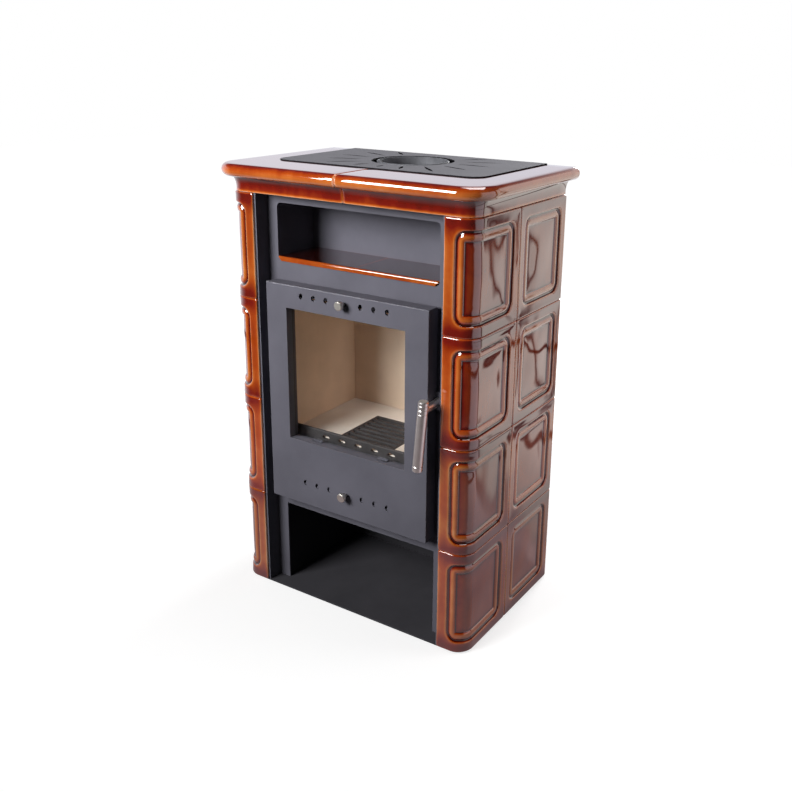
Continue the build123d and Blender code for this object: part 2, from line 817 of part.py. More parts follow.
# Hinge arms: a foot on the panel and an arm with an eye that reaches into the door.
with BuildPart() as hinge_arms:
    for z_arm in z_hinges:
        block(
            (x_foot_plate, x_foot_plate + hinge_foot_width), (y_foot_plate, y_panel),
            (z_arm - hinge_foot_height / 2, z_arm + hinge_foot_height / 2),
        )
        with BuildSketch(Plane.XY.offset(z_arm - hinge_arm_thickness / 2)):
            with Locations((x_hinge, (y_hinge + y_foot_plate) / 2)):
                Rectangle(hinge_arm_width, y_foot_plate - y_hinge)
            with Locations((x_hinge, y_hinge)):
                Circle(hinge_eye_radius)
                Circle(hinge_pin_radius, mode=Mode.SUBTRACT)
        extrude(amount=hinge_arm_thickness)
write(hinge_arms, "hinge_arms")

# Hinge pins: fixed in the eyes, their upper ends carry the door lugs.
with BuildPart() as hinge_pins:
    for z_arm in z_hinges:
        z_pin = z_arm - hinge_arm_thickness / 2
        with BuildSketch(Plane.XY.offset(z_pin)):
            with Locations((x_hinge, y_hinge)):
                Circle(hinge_pin_radius)
        extrude(amount=hinge_arm_thickness + hinge_side_gap + hinge_lug_height)
write(hinge_pins, "hinge_pins")

# Hinge screws: hexagonal heads on the feet.
with BuildPart() as hinge_screws:
    x_screw = x_foot_plate + 2 * screw_head_radius
    for z_arm in z_hinges:
        for z_screw in (z_arm - hinge_foot_height / 3, z_arm + hinge_foot_height / 3):
            with BuildSketch(facing(x_screw, y_foot_plate, z_screw)):
                RegularPolygon(screw_head_radius, 6)
            extrude(amount=screw_head_height)
write(hinge_screws, "hinge_screws")

# Latch keeper: a hook on the panel whose lip stands in front of the tongue.
y_tongue = y_frame_back + tongue_gap
y_keeper_lip = y_tongue - keeper_gap
z_tongue_end = stem_z - tongue_reach
z_keeper = (z_tongue_end + keeper_bite - keeper_height, z_tongue_end + keeper_bite)
x_keeper = (stem_x + tongue_width / 2 + keeper_gap, x_flange)
with BuildPart() as latch_keeper:
    block((x_flange - keeper_wall, x_flange), (y_keeper_lip - keeper_lip, y_panel), z_keeper)
    block(x_keeper, (y_keeper_lip - keeper_lip, y_keeper_lip), z_keeper)
write(latch_keeper, "latch_keeper")

# ---------------------------------------------------------------- door
hole_places = [side * (hole_first + step * hole_pitch) for side in (-1, 1) for step in range(holes_per_side)]
# Each slider: name, height, resting shift of its holes against the holes in the pan.
sliders = (("upper", z_upper_row, upper_rest_shift), ("lower", z_lower_row, lower_rest_shift))

# Door pan: a shallow box, open at the back, with the window and its return, air holes and knob slots.
with BuildPart() as door_pan:
    upright(y_door, door_width, (door_bottom, z_door_top), pan_edge_radius, pan_depth)
    front_rim = door_pan.faces().sort_by(Axis.Y)[0].edges()
    chamfer(front_rim, pan_edge_chamfer)
    z_pan_room = (door_bottom + pan_wall, z_door_top - pan_wall)
    block((-half_door + pan_wall, half_door - pan_wall), (y_skin, y_frame), z_pan_room, Mode.SUBTRACT)
    z_return = (window_bottom - pan_wall, z_window_top + pan_wall)
    upright(y_skin, window_width + 2 * pan_wall, z_return, pan_wall, window_return - pan_skin)
    upright(y_door, window_width, (window_bottom, z_window_top), window_corner, window_return, Mode.SUBTRACT)
    for _, z_row, shift in sliders:
        with BuildSketch(facing(0, y_door, z_row)):
            with Locations([(place, 0) for place in hole_places]):
                Circle(hole_diameter / 2)
            stroke_out = -shift
            stroke_in = shift - slider_closed_shift
            slot_half = knob_stem_radius + knob_slot_fit
            with Locations(((stroke_out - stroke_in) / 2, 0)):
                SlotOverall(stroke_out + stroke_in + 2 * slot_half, 2 * slot_half)
        extrude(amount=-pan_skin, mode=Mode.SUBTRACT)
    for z_arm in z_hinges:
        z_notch = (
            z_arm - hinge_arm_thickness / 2 - hinge_clearance,
            z_arm + hinge_arm_thickness / 2 + hinge_clearance,
        )
        y_notch = (y_skin + pan_notch_margin, y_frame)
        block((-half_door, -half_door + pan_wall), y_notch, z_notch, Mode.SUBTRACT)
write(door_pan, "door_pan")

# Door frame: the plate behind the pan that carries glass, gaskets, hinge lugs and the latch ear.
z_upper_air = z_door_top - upper_air_slot_drop
with BuildPart() as door_frame:
    upright(y_frame, door_width, (door_bottom, z_door_top), frame_corner, frame_thickness)
    z_frame_window = (window_bottom - frame_window_margin, z_window_top + frame_window_margin)
    frame_window_width = window_width + 2 * frame_window_margin
    upright(y_frame, frame_window_width, z_frame_window, frame_corner, frame_thickness, Mode.SUBTRACT)
    for z_air in (z_upper_air, z_lower_row):
        with BuildSketch(facing(0, y_frame, z_air)):
            with GridLocations(air_slot_pitch, 0, air_slots, 1):
                Rectangle(air_slot_width, air_slot_height)
        extrude(amount=-frame_thickness, mode=Mode.SUBTRACT)
    z_ear = (stem_z - ear_height / 2, stem_z + ear_height / 2)
    block((half_door - ear_root, stem_x + ear_overhang), (y_frame, y_frame_back), z_ear)
    chamfer(door_frame.edges().filter_by(Axis.Y).group_by(Axis.X)[-1], ear_chamfer)
    with BuildSketch(facing(stem_x, y_frame, stem_z)):
        Circle(shaft_radius + shaft_fit + bush_wall)
    extrude(amount=-frame_thickness, mode=Mode.SUBTRACT)
    for z_arm in z_hinges:
        z_lug = z_arm + hinge_arm_thickness / 2 + hinge_side_gap
        with BuildSketch(Plane.XY.offset(z_lug)):
            with Locations((x_hinge, (y_hinge + y_frame) / 2)):
                Rectangle(2 * hinge_eye_radius, y_frame - y_hinge)
            with Locations((x_hinge, y_hinge)):
                Circle(hinge_eye_radius)
        extrude(amount=hinge_lug_height)
        with BuildSketch(Plane.XY.offset(z_lug)):
            with Locations((x_hinge, y_hinge)):
                Circle(hinge_pin_radius + hinge_pin_fit)
        extrude(amount=hinge_lug_height, mode=Mode.SUBTRACT)
        z_notch = (z_arm - hinge_arm_thickness / 2 - hinge_clearance, z_lug)
        x_notch = x_hinge + hinge_arm_width / 2 + hinge_clearance
        block((-half_door, x_notch), (y_frame, y_frame_back), z_notch, Mode.SUBTRACT)
write(door_frame, "door_frame")

# Glass behind the window return, held by a gasket against the door frame.
with BuildPart() as door_glass:
    glass_width = window_width + 2 * glass_lap
    z_glass = (window_bottom - glass_lap, z_window_top + glass_lap)
    upright(y_glass, glass_width, z_glass, 0, glass_thickness)
write(door_glass, "door_glass")

with BuildPart() as glass_gasket:
    gasket_depth = y_frame - y_glass_back
    upright(y_glass_back, glass_width, z_glass, 0, gasket_depth)
    upright(
        y_glass_back, glass_width - 2 * glass_gasket_width,
        (z_glass[0] + glass_gasket_width, z_glass[1] - glass_gasket_width), 0, gasket_depth,
        Mode.SUBTRACT,
    )
write(glass_gasket, "glass_gasket")

# Door gasket: a rope round the opening on the back of the door frame, just clear of the panel.
with BuildPart() as door_gasket:
    rope_depth = y_panel - door_gasket_gap - y_frame_back
    rope_inner = (opening_bottom - door_gasket_lap + door_gasket_width, opening_top + door_gasket_lap
                  - door_gasket_width)
    rope_width = opening_width + 2 * (door_gasket_lap - door_gasket_width)
    upright(
        y_frame_back, rope_width + 2 * door_gasket_width,
        (rope_inner[0] - door_gasket_width, rope_inner[1] + door_gasket_width),
        door_gasket_corner + door_gasket_width, rope_depth,
    )
    upright(y_frame_back, rope_width, rope_inner, door_gasket_corner, rope_depth, Mode.SUBTRACT)
write(door_gasket, "door_gasket")

# Glass clips: four bent strips on the window return, in front of the glass.
with BuildPart() as glass_clips:
    y_clip = (y_glass - clip_length, y_glass)
    for z_edge, up in ((window_bottom, 1), (z_window_top, -1)):
        for x_clip in (-clip_spacing / 2, clip_spacing / 2):
            x_strip = (x_clip - clip_width / 2, x_clip + clip_width / 2)
            z_foot = sorted((z_edge, z_edge + up * clip_sheet))
            z_tab = sorted((z_edge, z_edge + up * clip_height))
            block(x_strip, y_clip, z_foot)
            block(x_strip, (y_glass - clip_sheet, y_glass), z_tab)
write(glass_clips, "glass_clips")

# Slider guides: L-shaped strips above and below each slider.
y_slider = (y_skin + slider_fit, y_skin + slider_fit + slider_sheet)
with BuildPart() as slider_guides:
    guide_half = hole_last + slider_end + guide_overrun
    for _, z_row, _ in sliders:
        for up in (-1, 1):
            z_inner = z_row + up * (slider_height / 2 + slider_fit)
            z_outer = z_inner + up * guide_wall
            y_guide = (y_skin, y_slider[1] + slider_fit + guide_sheet)
            block((-guide_half, guide_half), y_guide, sorted((z_inner, z_outer)))
            block(
                (-guide_half, guide_half), (y_slider[1] + slider_fit, y_guide[1]),
                sorted((z_inner - up * guide_lip, z_outer)),
            )
write(slider_guides, "slider_guides")

for name, z_row, shift in sliders:
    # Air slider: a strip with the same holes as the pan, shifted to half cover them at rest.
    with BuildPart() as air_slider:
        slider_half = hole_last + slider_end
        with BuildSketch(facing(shift, y_slider[0], z_row)):
            Rectangle(2 * slider_half, slider_height)
            with Locations([(place, 0) for place in hole_places]):
                Circle(hole_diameter / 2, mode=Mode.SUBTRACT)
        extrude(amount=-slider_sheet)
    write(air_slider, f"{name}_slider")

    # Knob: a turned head on a neck, its stem passes the slot and stands on the slider.
    with BuildPart() as knob:
        stem_end = y_slider[0] - y_door
        with BuildSketch(Plane(origin=(0, y_door, z_row), x_dir=(1, 0, 0), z_dir=(0, 0, 1))):
            with BuildLine():
                Polyline(
                    (0, stem_end),
                    (knob_stem_radius, stem_end),
                    (knob_stem_radius, -knob_gap),
                    (knob_neck_radius, -knob_gap),
                    (knob_neck_radius, -knob_neck_end),
                    (knob_head_radius, -knob_length + knob_head_length),
                    (knob_head_radius, -knob_length + knob_edge),
                    (knob_head_radius - knob_edge, -knob_length),
                    (0, -knob_length),
                    close=True,
                )
            make_face()
        revolve(axis=Axis((0, 0, z_row), (0, 1, 0)))
    write(knob, f"{name}_knob")

# ---------------------------------------------------------------- latch and handle
# Latch bush: a flanged sleeve in the ear of the door frame.
with BuildPart() as latch_bush:
    bore = shaft_radius + shaft_fit
    with BuildSketch(Plane(origin=(stem_x, y_frame, stem_z), x_dir=(1, 0, 0), z_dir=(0, 0, 1))):
        with BuildLine():
            Polyline(
                (bore, -bush_flange),
                (bore + 2 * bush_wall, -bush_flange),
                (bore + 2 * bush_wall, 0),
                (bore + bush_wall, 0),
                (bore + bush_wall, frame_thickness),
                (bore, frame_thickness),
                close=True,
            )
        make_face()
    revolve(axis=Axis((stem_x, 0, stem_z), (0, 1, 0)))
write(latch_bush, "latch_bush")

# Handle stem: turned, thick in front of the ear with two rings, thin through the bush.
with BuildPart() as handle_stem:
    y_stem = y_flange - stem_front
    y_shoulder = y_frame - bush_flange - bush_gap
    with BuildSketch(Plane(origin=(stem_x, 0, stem_z), x_dir=(1, 0, 0), z_dir=(0, 0, 1))):
        with BuildLine():
            Polyline(
                (0, y_stem),
                (stem_radius, y_stem),
                (stem_radius, y_shoulder - collar_width - collar_slope),
                (stem_radius + collar_rise, y_shoulder - collar_width),
                (stem_radius + collar_rise, y_shoulder - collar_slope),
                (stem_radius, y_shoulder),
                (shaft_radius, y_shoulder),
                (shaft_radius, y_tongue + tongue_thickness),
                (0, y_tongue + tongue_thickness),
                close=True,
            )
        make_face()
    revolve(axis=Axis((stem_x, 0, stem_z), (0, 1, 0)))
    with BuildSketch(Plane(origin=(stem_x, y_grip, stem_z), z_dir=(0, 1, 0))):
        Circle(stem_radius)
    extrude(amount=stem_front)
write(handle_stem, "handle_stem")

# Latch tongue: a hub on the shaft with a finger that points down.
with BuildPart() as latch_tongue:
    with BuildSketch(facing(stem_x, y_tongue, stem_z)):
        Circle(tongue_hub_radius)
        with Locations((0, -tongue_reach / 2)):
            Rectangle(tongue_width, tongue_reach)
        Circle(shaft_radius, mode=Mode.SUBTRACT)
    extrude(amount=-tongue_thickness)
write(latch_tongue, "latch_tongue")

# Handle grip: a turned bar with grooves near both ends, tilted as it hangs.
tilt = math.radians(grip_tilt)
grip_axis = Vector(math.sin(tilt), 0, math.cos(tilt))
with BuildPart() as handle_grip:
    grip_plane = Plane(origin=(stem_x, y_grip, stem_z), x_dir=(math.cos(tilt), 0, -math.sin(tilt)),
                       z_dir=(0, -1, 0))
    outline = [(0, -grip_below), (grip_radius - grip_edge, -grip_below)]
    outline.append((grip_radius, grip_edge - grip_below))
    for groove in grip_groove_places:
        outline.append((grip_radius, groove - grip_groove_half))
        outline.append((grip_radius - grip_groove_depth, groove))
        outline.append((grip_radius, groove + grip_groove_half))
    outline.append((grip_radius, grip_above - grip_edge))
    outline.append((grip_radius - grip_edge, grip_above))
    outline.append((0, grip_above))
    with BuildSketch(grip_plane):
        with BuildLine():
            Polyline(outline, close=True)
        make_face()
    revolve(axis=Axis((stem_x, y_grip, stem_z), tuple(grip_axis)))
    with BuildSketch(Plane(origin=(stem_x, y_grip, stem_z), z_dir=(0, 1, 0))):
        Circle(stem_radius)
    extrude(amount=stem_front, mode=Mode.SUBTRACT)
write(handle_grip, "handle_grip")
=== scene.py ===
import json
import math

import bmesh
import bpy
from mathutils import Matrix, Vector, noise

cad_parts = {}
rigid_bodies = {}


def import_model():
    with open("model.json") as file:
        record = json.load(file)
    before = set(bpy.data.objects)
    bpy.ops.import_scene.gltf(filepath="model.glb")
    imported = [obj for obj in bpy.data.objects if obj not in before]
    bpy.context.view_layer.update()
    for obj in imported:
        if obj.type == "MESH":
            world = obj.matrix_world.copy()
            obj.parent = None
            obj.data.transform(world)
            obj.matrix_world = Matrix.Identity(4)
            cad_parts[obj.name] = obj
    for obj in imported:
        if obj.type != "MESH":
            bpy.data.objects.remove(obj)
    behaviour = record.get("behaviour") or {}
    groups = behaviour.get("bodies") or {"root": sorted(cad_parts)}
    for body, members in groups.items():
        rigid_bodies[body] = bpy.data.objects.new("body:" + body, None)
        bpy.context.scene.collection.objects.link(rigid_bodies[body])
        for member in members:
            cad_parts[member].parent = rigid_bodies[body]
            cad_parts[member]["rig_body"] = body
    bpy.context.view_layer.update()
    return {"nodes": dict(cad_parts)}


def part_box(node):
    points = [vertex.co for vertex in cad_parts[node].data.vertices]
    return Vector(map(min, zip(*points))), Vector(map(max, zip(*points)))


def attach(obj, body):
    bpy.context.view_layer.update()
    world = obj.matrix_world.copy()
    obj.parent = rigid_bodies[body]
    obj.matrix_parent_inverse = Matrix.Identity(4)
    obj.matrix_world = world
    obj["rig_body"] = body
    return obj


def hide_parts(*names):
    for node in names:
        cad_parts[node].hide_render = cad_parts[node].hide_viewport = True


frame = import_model()
NODES = frame["nodes"]
MM = 0.001  # sizes of the stove are written in millimetres, places of camera, lamps and room in metres
SIDES = (("right", 1), ("left", -1))
ROWS = 4


def span(node):
    """Lowest and highest corner of a CAD node, in millimetres."""
    low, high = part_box(node)
    return low / MM, high / MM


def on_circle(centre, radius, degrees):
    """Point of a circle, counter-clockwise from +X."""
    angle = math.radians(degrees)
    return centre[0] + radius * math.cos(angle), centre[1] + radius * math.sin(angle)


def round_corner(centre, radius, degrees):
    """Point of the bend from the front to the right side, by its angle from the front."""
    angle = math.radians(degrees)
    return centre[0] + radius * math.sin(angle), centre[1] - radius * math.cos(angle)


def stretched(value, low, high, to_low, to_high):
    """A value of one range carried over to another range."""
    return to_low + (to_high - to_low) * (value - low) / (high - low)


# ------------------------------------------------------------------ node trees
MIX_SHARE, MIX_FIRST, MIX_SECOND, MIX_RESULT = 0, 6, 7, 2  # the Mix node's sockets for colours


class Nodes:
    """Lays out one node tree, of a material or of the world."""

    def __init__(self, tree, output):
        self.tree = tree
        self.tree.nodes.clear()
        self.output = self.tree.nodes.new("ShaderNodeOutput" + output)

    def node(self, kind, inputs=None, **settings):
        made = self.tree.nodes.new("ShaderNode" + kind)
        for key, value in settings.items():
            setattr(made, key, value)
        for key, value in (inputs or {}).items():
            self.feed(made, key, value)
        return made

    def feed(self, target, key, value):
        """Links a node or a socket to an input, or writes a plain value on it."""
        socket = target.inputs[key]
        if isinstance(value, bpy.types.NodeSocket):
            self.tree.links.new(value, socket)
        elif isinstance(value, bpy.types.Node):
            self.tree.links.new(value.outputs[0], socket)
        elif socket.type == "RGBA" and len(value) == 3:
            socket.default_value = (*value, 1.0)
        else:
            socket.default_value = value

    def end(self, shader):
        self.feed(self.output, 0, shader)

    def coords(self, scale=(1, 1, 1)):
        """Object coordinates, in metres times the scale."""
        place = self.node("TexCoord")
        return self.node("Mapping", {"Vector": place.outputs["Object"], "Scale": scale}).outputs[0]

    def noise(self, vector, scale, detail=3.0, roughness=0.5, distortion=0.0):
        inputs = {"Vector": vector, "Scale": scale, "Detail": detail}
        inputs.update({"Roughness": roughness, "Distortion": distortion})
        return self.node("TexNoise", inputs).outputs[0]

    def ramp(self, value, *stops):
        made = self.node("ValToRGB", {"Fac": value})
        elements = made.color_ramp.elements
        while len(elements) < len(stops):
            elements.new(0.5)
        for element, (place, colour) in zip(elements, stops):
            element.position = place
            element.color = (*colour, 1.0)
        return made.outputs[0]

    def remap(self, value, low, high, to_low, to_high, **settings):
        inputs = {"Value": value, "From Min": low, "From Max": high, "To Min": to_low, "To Max": to_high}
        return self.node("MapRange", inputs, **settings).outputs[0]

    def mix(self, share, first, second):
        made = self.node("Mix", data_type="RGBA")
        self.feed(made, MIX_SHARE, share)
        self.feed(made, MIX_FIRST, first)
        self.feed(made, MIX_SECOND, second)
        return made.outputs[MIX_RESULT]

    def math(self, operation, first, second=0.0):
        return self.node("Math", {0: first, 1: second}, operation=operation).outputs[0]

    def bump(self, height, strength, distance):
        return self.node("Bump", {"Height": height, "Strength": strength, "Distance": distance}).outputs[0]

    def surface(self, **inputs):
        """Ends the tree with a Principled shader; an underscore in a name stands for a space."""
        named = {key.replace("_", " "): value for key, value in inputs.items()}
        self.end(self.node("BsdfPrincipled", named))


def new_material(name):
    material = bpy.data.materials.new(name)
    material.use_nodes = True
    return material, Nodes(material.node_tree, "Material")


def shade(colour, factor):
    """A colour made lighter or darker by a factor."""
    return tuple(min(1.0, channel * factor) for channel in colour)


# ------------------------------------------------------------------ materials
HIGHLIGHT_STARTS = 3.0  # the door's painted highlight begins this far below its upper edge, in millimetres
HIGHLIGHT_FULL = 1.5  # and has its full colour this far below it


def glaze_material(name, tint):
    """Amber-brown glaze: pale where it runs thin on edges and beads, dark where it pools."""
    material, s = new_material(name)
    place = s.coords()
    thin = s.node("Attribute", attribute_name="thin").outputs["Fac"]
    flow = s.noise(place, 8.0, 3.0, 0.55, 0.8)
    fine = s.noise(place, 60.0, 4.0, 0.6)
    runs = s.noise(s.coords((55, 55, 8)), 1.0, 3.0, 0.5)
    level = s.math("ADD", thin, s.remap(flow, 0.3, 0.7, -0.07, 0.07))
    level = s.math("ADD", level, s.remap(runs, 0.3, 0.7, -0.03, 0.03))
    level = s.math("ADD", level, s.remap(fine, 0.3, 0.7, -0.02, 0.02))
    colour = s.ramp(
        level,
        (0.00, (0.012 * tint, 0.0018, 0.0012)),
        (0.25, (0.050 * tint, 0.0040, 0.0018)),
        (0.45, (0.185 * tint, 0.0085, 0.0030)),
        (0.65, (0.400 * tint, 0.0600, 0.0060)),
        (0.82, (0.600 * tint, 0.1650, 0.0280)),
        (1.00, (0.800 * tint, 0.3800, 0.2200)),
    )
    ripple = s.bump(s.noise(place, 30.0, 2.0, 0.4), 0.10, 0.0010)
    s.surface(
        Base_Color=colour, Roughness=s.remap(fine, 0.2, 0.8, 0.03, 0.07), IOR=1.75, Coat_Weight=1.0,
        Coat_Roughness=0.02, Coat_IOR=1.6, Normal=ripple,
    )
    return material


def stove_paint(name, colour, roughness=0.42, gloss=0.03):
    """Charcoal heat-resistant paint: fine grain, slight cloudiness and small pale flecks, its metal flakes
    with their glint painted in.
    """
    material, s = new_material(name)
    place = s.coords()
    clouds = s.noise(place, 7.0, 4.0, 0.6)
    grain = s.noise(place, 1300.0, 2.0, 0.6)
    glint_flecks = s.noise(place, 2400.0, 1.0, 0.5)
    tone = s.ramp(clouds, (0.3, shade(colour, 0.88)), (0.7, shade(colour, 1.12)))
    # pale flecks: the paint's metal flakes, with a painted glint
    tone = s.mix(s.remap(glint_flecks, 0.62, 0.75, 0.0, 0.3), tone, shade(colour, 1.9))
    s.surface(
        Base_Color=tone, Roughness=s.remap(grain, 0.2, 0.8, roughness - 0.05, roughness + 0.08),
        Specular_IOR_Level=gloss, Normal=s.bump(grain, 0.2, 0.00025),
    )
    return material


def highlight_rim_paint(name, colour, highlight_colour, height):
    """Paint on the door's rounded edges: a painted highlight, lighter than the door and painted brightest
    along the upper edge, at a height in metres.
    """
    material, s = new_material(name)
    grain = s.noise(s.coords(), 900.0, 2.0, 0.6)
    up = s.node("SeparateXYZ", {0: s.coords()}).outputs["Z"]
    share = s.remap(up, height - HIGHLIGHT_STARTS * MM, height - HIGHLIGHT_FULL * MM, 0.0, 1.0)
    tone = s.mix(share, colour, highlight_colour)
    s.surface(Base_Color=tone, Roughness=s.remap(grain, 0.2, 0.8, 0.28, 0.4), Specular_IOR_Level=0.3)
    return material


def fireclay(name, colour):
    """Matt cast fireclay with specks, pores and faint casting bands."""
    material, s = new_material(name)
    place = s.coords()
    clouds = s.noise(place, 12.0, 5.0, 0.6)
    specks = s.noise(place, 420.0, 2.0, 0.7)
    bands = s.noise(s.coords((18, 18, 3)), 1.0, 3.0, 0.5)
    tone = s.ramp(clouds, (0.3, shade(colour, 0.9)), (0.72, shade(colour, 1.08)))
    tone = s.mix(s.remap(bands, 0.4, 0.65, 0.0, 0.2), tone, shade(colour, 0.8))
    tone = s.mix(s.remap(specks, 0.60, 0.72, 0.0, 0.4), tone, shade(colour, 0.5))
    s.surface(Base_Color=tone, Roughness=0.92, Normal=s.bump(specks, 0.35, 0.0006))
    return material


def cast_iron(name, colour):
    """Rough sand-cast iron with a dull grey bloom."""
    material, s = new_material(name)
    place = s.coords()
    clouds = s.noise(place, 25.0, 5.0, 0.65)
    grain = s.noise(place, 620.0, 3.0, 0.6)
    tone = s.ramp(clouds, (0.3, shade(colour, 0.7)), (0.7, shade(colour, 1.35)))
    s.surface(
        Base_Color=tone, Metallic=0.35, Roughness=s.remap(grain, 0.2, 0.8, 0.5, 0.72),
        Normal=s.bump(grain, 0.5, 0.0006),
    )
    return material


def bright_metal(name, colour, roughness, brushed=0.0):
    """Turned or plated steel with fine marks."""
    material, s = new_material(name)
    marks = s.noise(s.coords((900, 900, 900)), 1.0, 2.0, 0.6)
    clouds = s.noise(s.coords(), 60.0, 3.0, 0.5)
    tone = s.ramp(clouds, (0.3, shade(colour, 0.9)), (0.7, colour))
    s.surface(
        Base_Color=tone, Metallic=1.0,
        Roughness=s.remap(marks, 0.2, 0.8, roughness, roughness + 0.08 + brushed),
        Normal=s.bump(marks, 0.08 + brushed, 0.0002),
    )
    return material


def woven_rope(name, colour):
    """Dark glass-fibre sealing rope with a diagonal weave."""
    material, s = new_material(name)
    weave = s.node(
        "TexWave", {"Vector": s.coords(), "Scale": 160.0, "Distortion": 1.5},
        wave_type="BANDS", bands_direction="DIAGONAL",
    ).outputs["Fac"]
    tone = s.ramp(weave, (0.2, shade(colour, 0.5)), (0.8, shade(colour, 1.8)))
    s.surface(Base_Color=tone, Roughness=0.9, Normal=s.bump(weave, 0.8, 0.0006))
    return material


def clear_glass(name):
    """Thin clear pane: it lets light straight through and mirrors a little at flat angles."""
    material, s = new_material(name)
    smear = s.noise(s.coords(), 14.0, 4.0, 0.6)
    through = s.node("BsdfTransparent", {"Color": (0.97, 0.98, 0.97)})
    polish = s.remap(smear, 0.3, 0.7, 0.0, 0.03)
    mirror = s.node("BsdfGlossy", {"Color": (1.0, 1.0, 1.0), "Roughness": polish})
    inside = s.node("NewGeometry").outputs["Backfacing"]
    share = s.math("MULTIPLY", s.node("Fresnel", {"IOR": 1.45}), s.math("SUBTRACT", 1.0, inside))
    s.end(s.node("MixShader", {0: share, 1: through, 2: mirror}))
    return material


DOOR_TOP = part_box("door_pan")[1].z
PAINT = stove_paint("steel_paint", (0.122, 0.119, 0.144))
# the door's rounded edges: a painted highlight, lighter than the door and brightest along its upper edge
PAINT_HIGHLIGHT_RIM = highlight_rim_paint("steel_paint_painted_highlight_rim", (0.26, 0.25, 0.28), (0.85, 0.84, 0.90), DOOR_TOP)
# a darker copy of the stove paint: painted shade for the dim floor of the wood store
BASE_PAINT_SHADED = stove_paint("base_paint_painted_shade", (0.064, 0.062, 0.070), 0.5)
PAINT_DARK = stove_paint("steel_paint_inner", (0.050, 0.049, 0.055), 0.5)
PLATE_PAINT = stove_paint("top_plate_paint", (0.115, 0.113, 0.128), 0.6, 0.5)
# near-black paint for the plate's edges and slot walls: painted shade
PLATE_EDGE_SHADE = stove_paint("top_plate_edge_painted_shade", (0.012, 0.012, 0.014), 0.6)
CLIP_STEEL = bright_metal("clip_steel", (0.16, 0.16, 0.18), 0.4)
CLAY = fireclay("fireclay", (0.88, 0.69, 0.55))
# lighter than the walls' fireclay: partly a paler stone, partly painted light for the light that falls on
# the hearth
HEARTH_CLAY_LIT = fireclay("hearth_clay_painted_light", (0.98, 0.86, 0.80))
IRON = cast_iron("cast_iron", (0.062, 0.056, 0.060))
COLLAR_IRON = cast_iron("collar_iron", (0.125, 0.128, 0.142))
GLASS = clear_glass("clear_glass")
ROPE = woven_rope("rope_seal", (0.05, 0.05, 0.052))
ZINC = bright_metal("zinc_steel", (0.42, 0.41, 0.43), 0.28, 0.1)
STEEL = bright_metal("bright_steel", (0.84, 0.80, 0.78), 0.34)
STEEL_END = bright_metal("steel_end", (0.55, 0.52, 0.48), 0.75)
SATIN = bright_metal("satin_steel", (0.70, 0.67, 0.62), 0.34)
GLAZES = [glaze_material(f"glaze_{number}", tint) for number, tint in enumerate((1.0, 0.9, 1.08))]


# ------------------------------------------------------------------ pieces
SAME_POINT = 1e-6  # metres
FLAT_ANGLE = 1.0  # faces that meet at less than this are one face, in degrees
EDGE_ANGLE = 30.0  # edges sharper than this are rounded
NORMAL_WEIGHT = 90


def make_piece(name, mesh, material, *stands_for):
    """Links a mesh as a piece that stands for CAD nodes and rides on their body."""
    piece = bpy.data.objects.new(name, mesh)
    bpy.context.scene.collection.objects.link(piece)
    mesh.materials.clear()
    mesh.materials.append(material)
    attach(piece, NODES[stands_for[0]]["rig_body"])
    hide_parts(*stands_for)
    return piece


def smooth(mesh):
    mesh.polygons.foreach_set("use_smooth", [True] * len(mesh.polygons))


def write_thin(mesh, values):
    """Stores the glaze value of each point: 1 where the glaze is thin, 0 where it pools."""
    mesh.attributes.new("thin", "FLOAT", "POINT").data.foreach_set("value", values)


def mesh_from(name, points, faces, thin=None):
    """A smooth mesh from points in millimetres, with an optional glaze value for each point."""
    mesh = bpy.data.meshes.new(name)
    mesh.from_pydata([Vector(point) * MM for point in points], [], faces)
    smooth(mesh)
    if thin is not None:
        write_thin(mesh, thin)
    work = bmesh.new()
    work.from_mesh(mesh)
    bmesh.ops.remove_doubles(work, verts=work.verts, dist=SAME_POINT)
    bmesh.ops.recalc_face_normals(work, faces=work.faces)
    work.to_mesh(mesh)
    work.free()
    return mesh


def merged_copy(node):
    """A CAD node's mesh with its triangles joined to whole flat faces."""
    mesh = NODES[node].data.copy()
    work = bmesh.new()
    work.from_mesh(mesh)
    bmesh.ops.remove_doubles(work, verts=work.verts, dist=SAME_POINT)
    flat = math.radians(FLAT_ANGLE)
    bmesh.ops.dissolve_limit(work, angle_limit=flat, verts=work.verts, edges=work.edges)
    work.to_mesh(mesh)
    work.free()
    smooth(mesh)
    return mesh


def softened(node, width, material, segments=2, rim=None):
    """A copy of a CAD node with its sharp edges rounded, in a material of their own if rim is given."""
    mesh = merged_copy(node)
    piece = make_piece(node + "_soft", mesh, material, node)
    bevel = piece.modifiers.new("edges", "BEVEL")
    bevel.width = width * MM
    bevel.segments = segments
    bevel.limit_method = "ANGLE"
    bevel.angle_limit = math.radians(EDGE_ANGLE)
    if rim is not None:
        mesh.materials.append(rim)
        bevel.material = 1
    normals = piece.modifiers.new("normals", "WEIGHTED_NORMAL")
    normals.mode = "FACE_AREA"
    normals.weight = NORMAL_WEIGHT
    return piece


def paint(material, *nodes):
    """Gives CAD nodes that keep their shape a material."""
    for node in nodes:
        slots = NODES[node].data.materials
        slots.clear()
        slots.append(material)


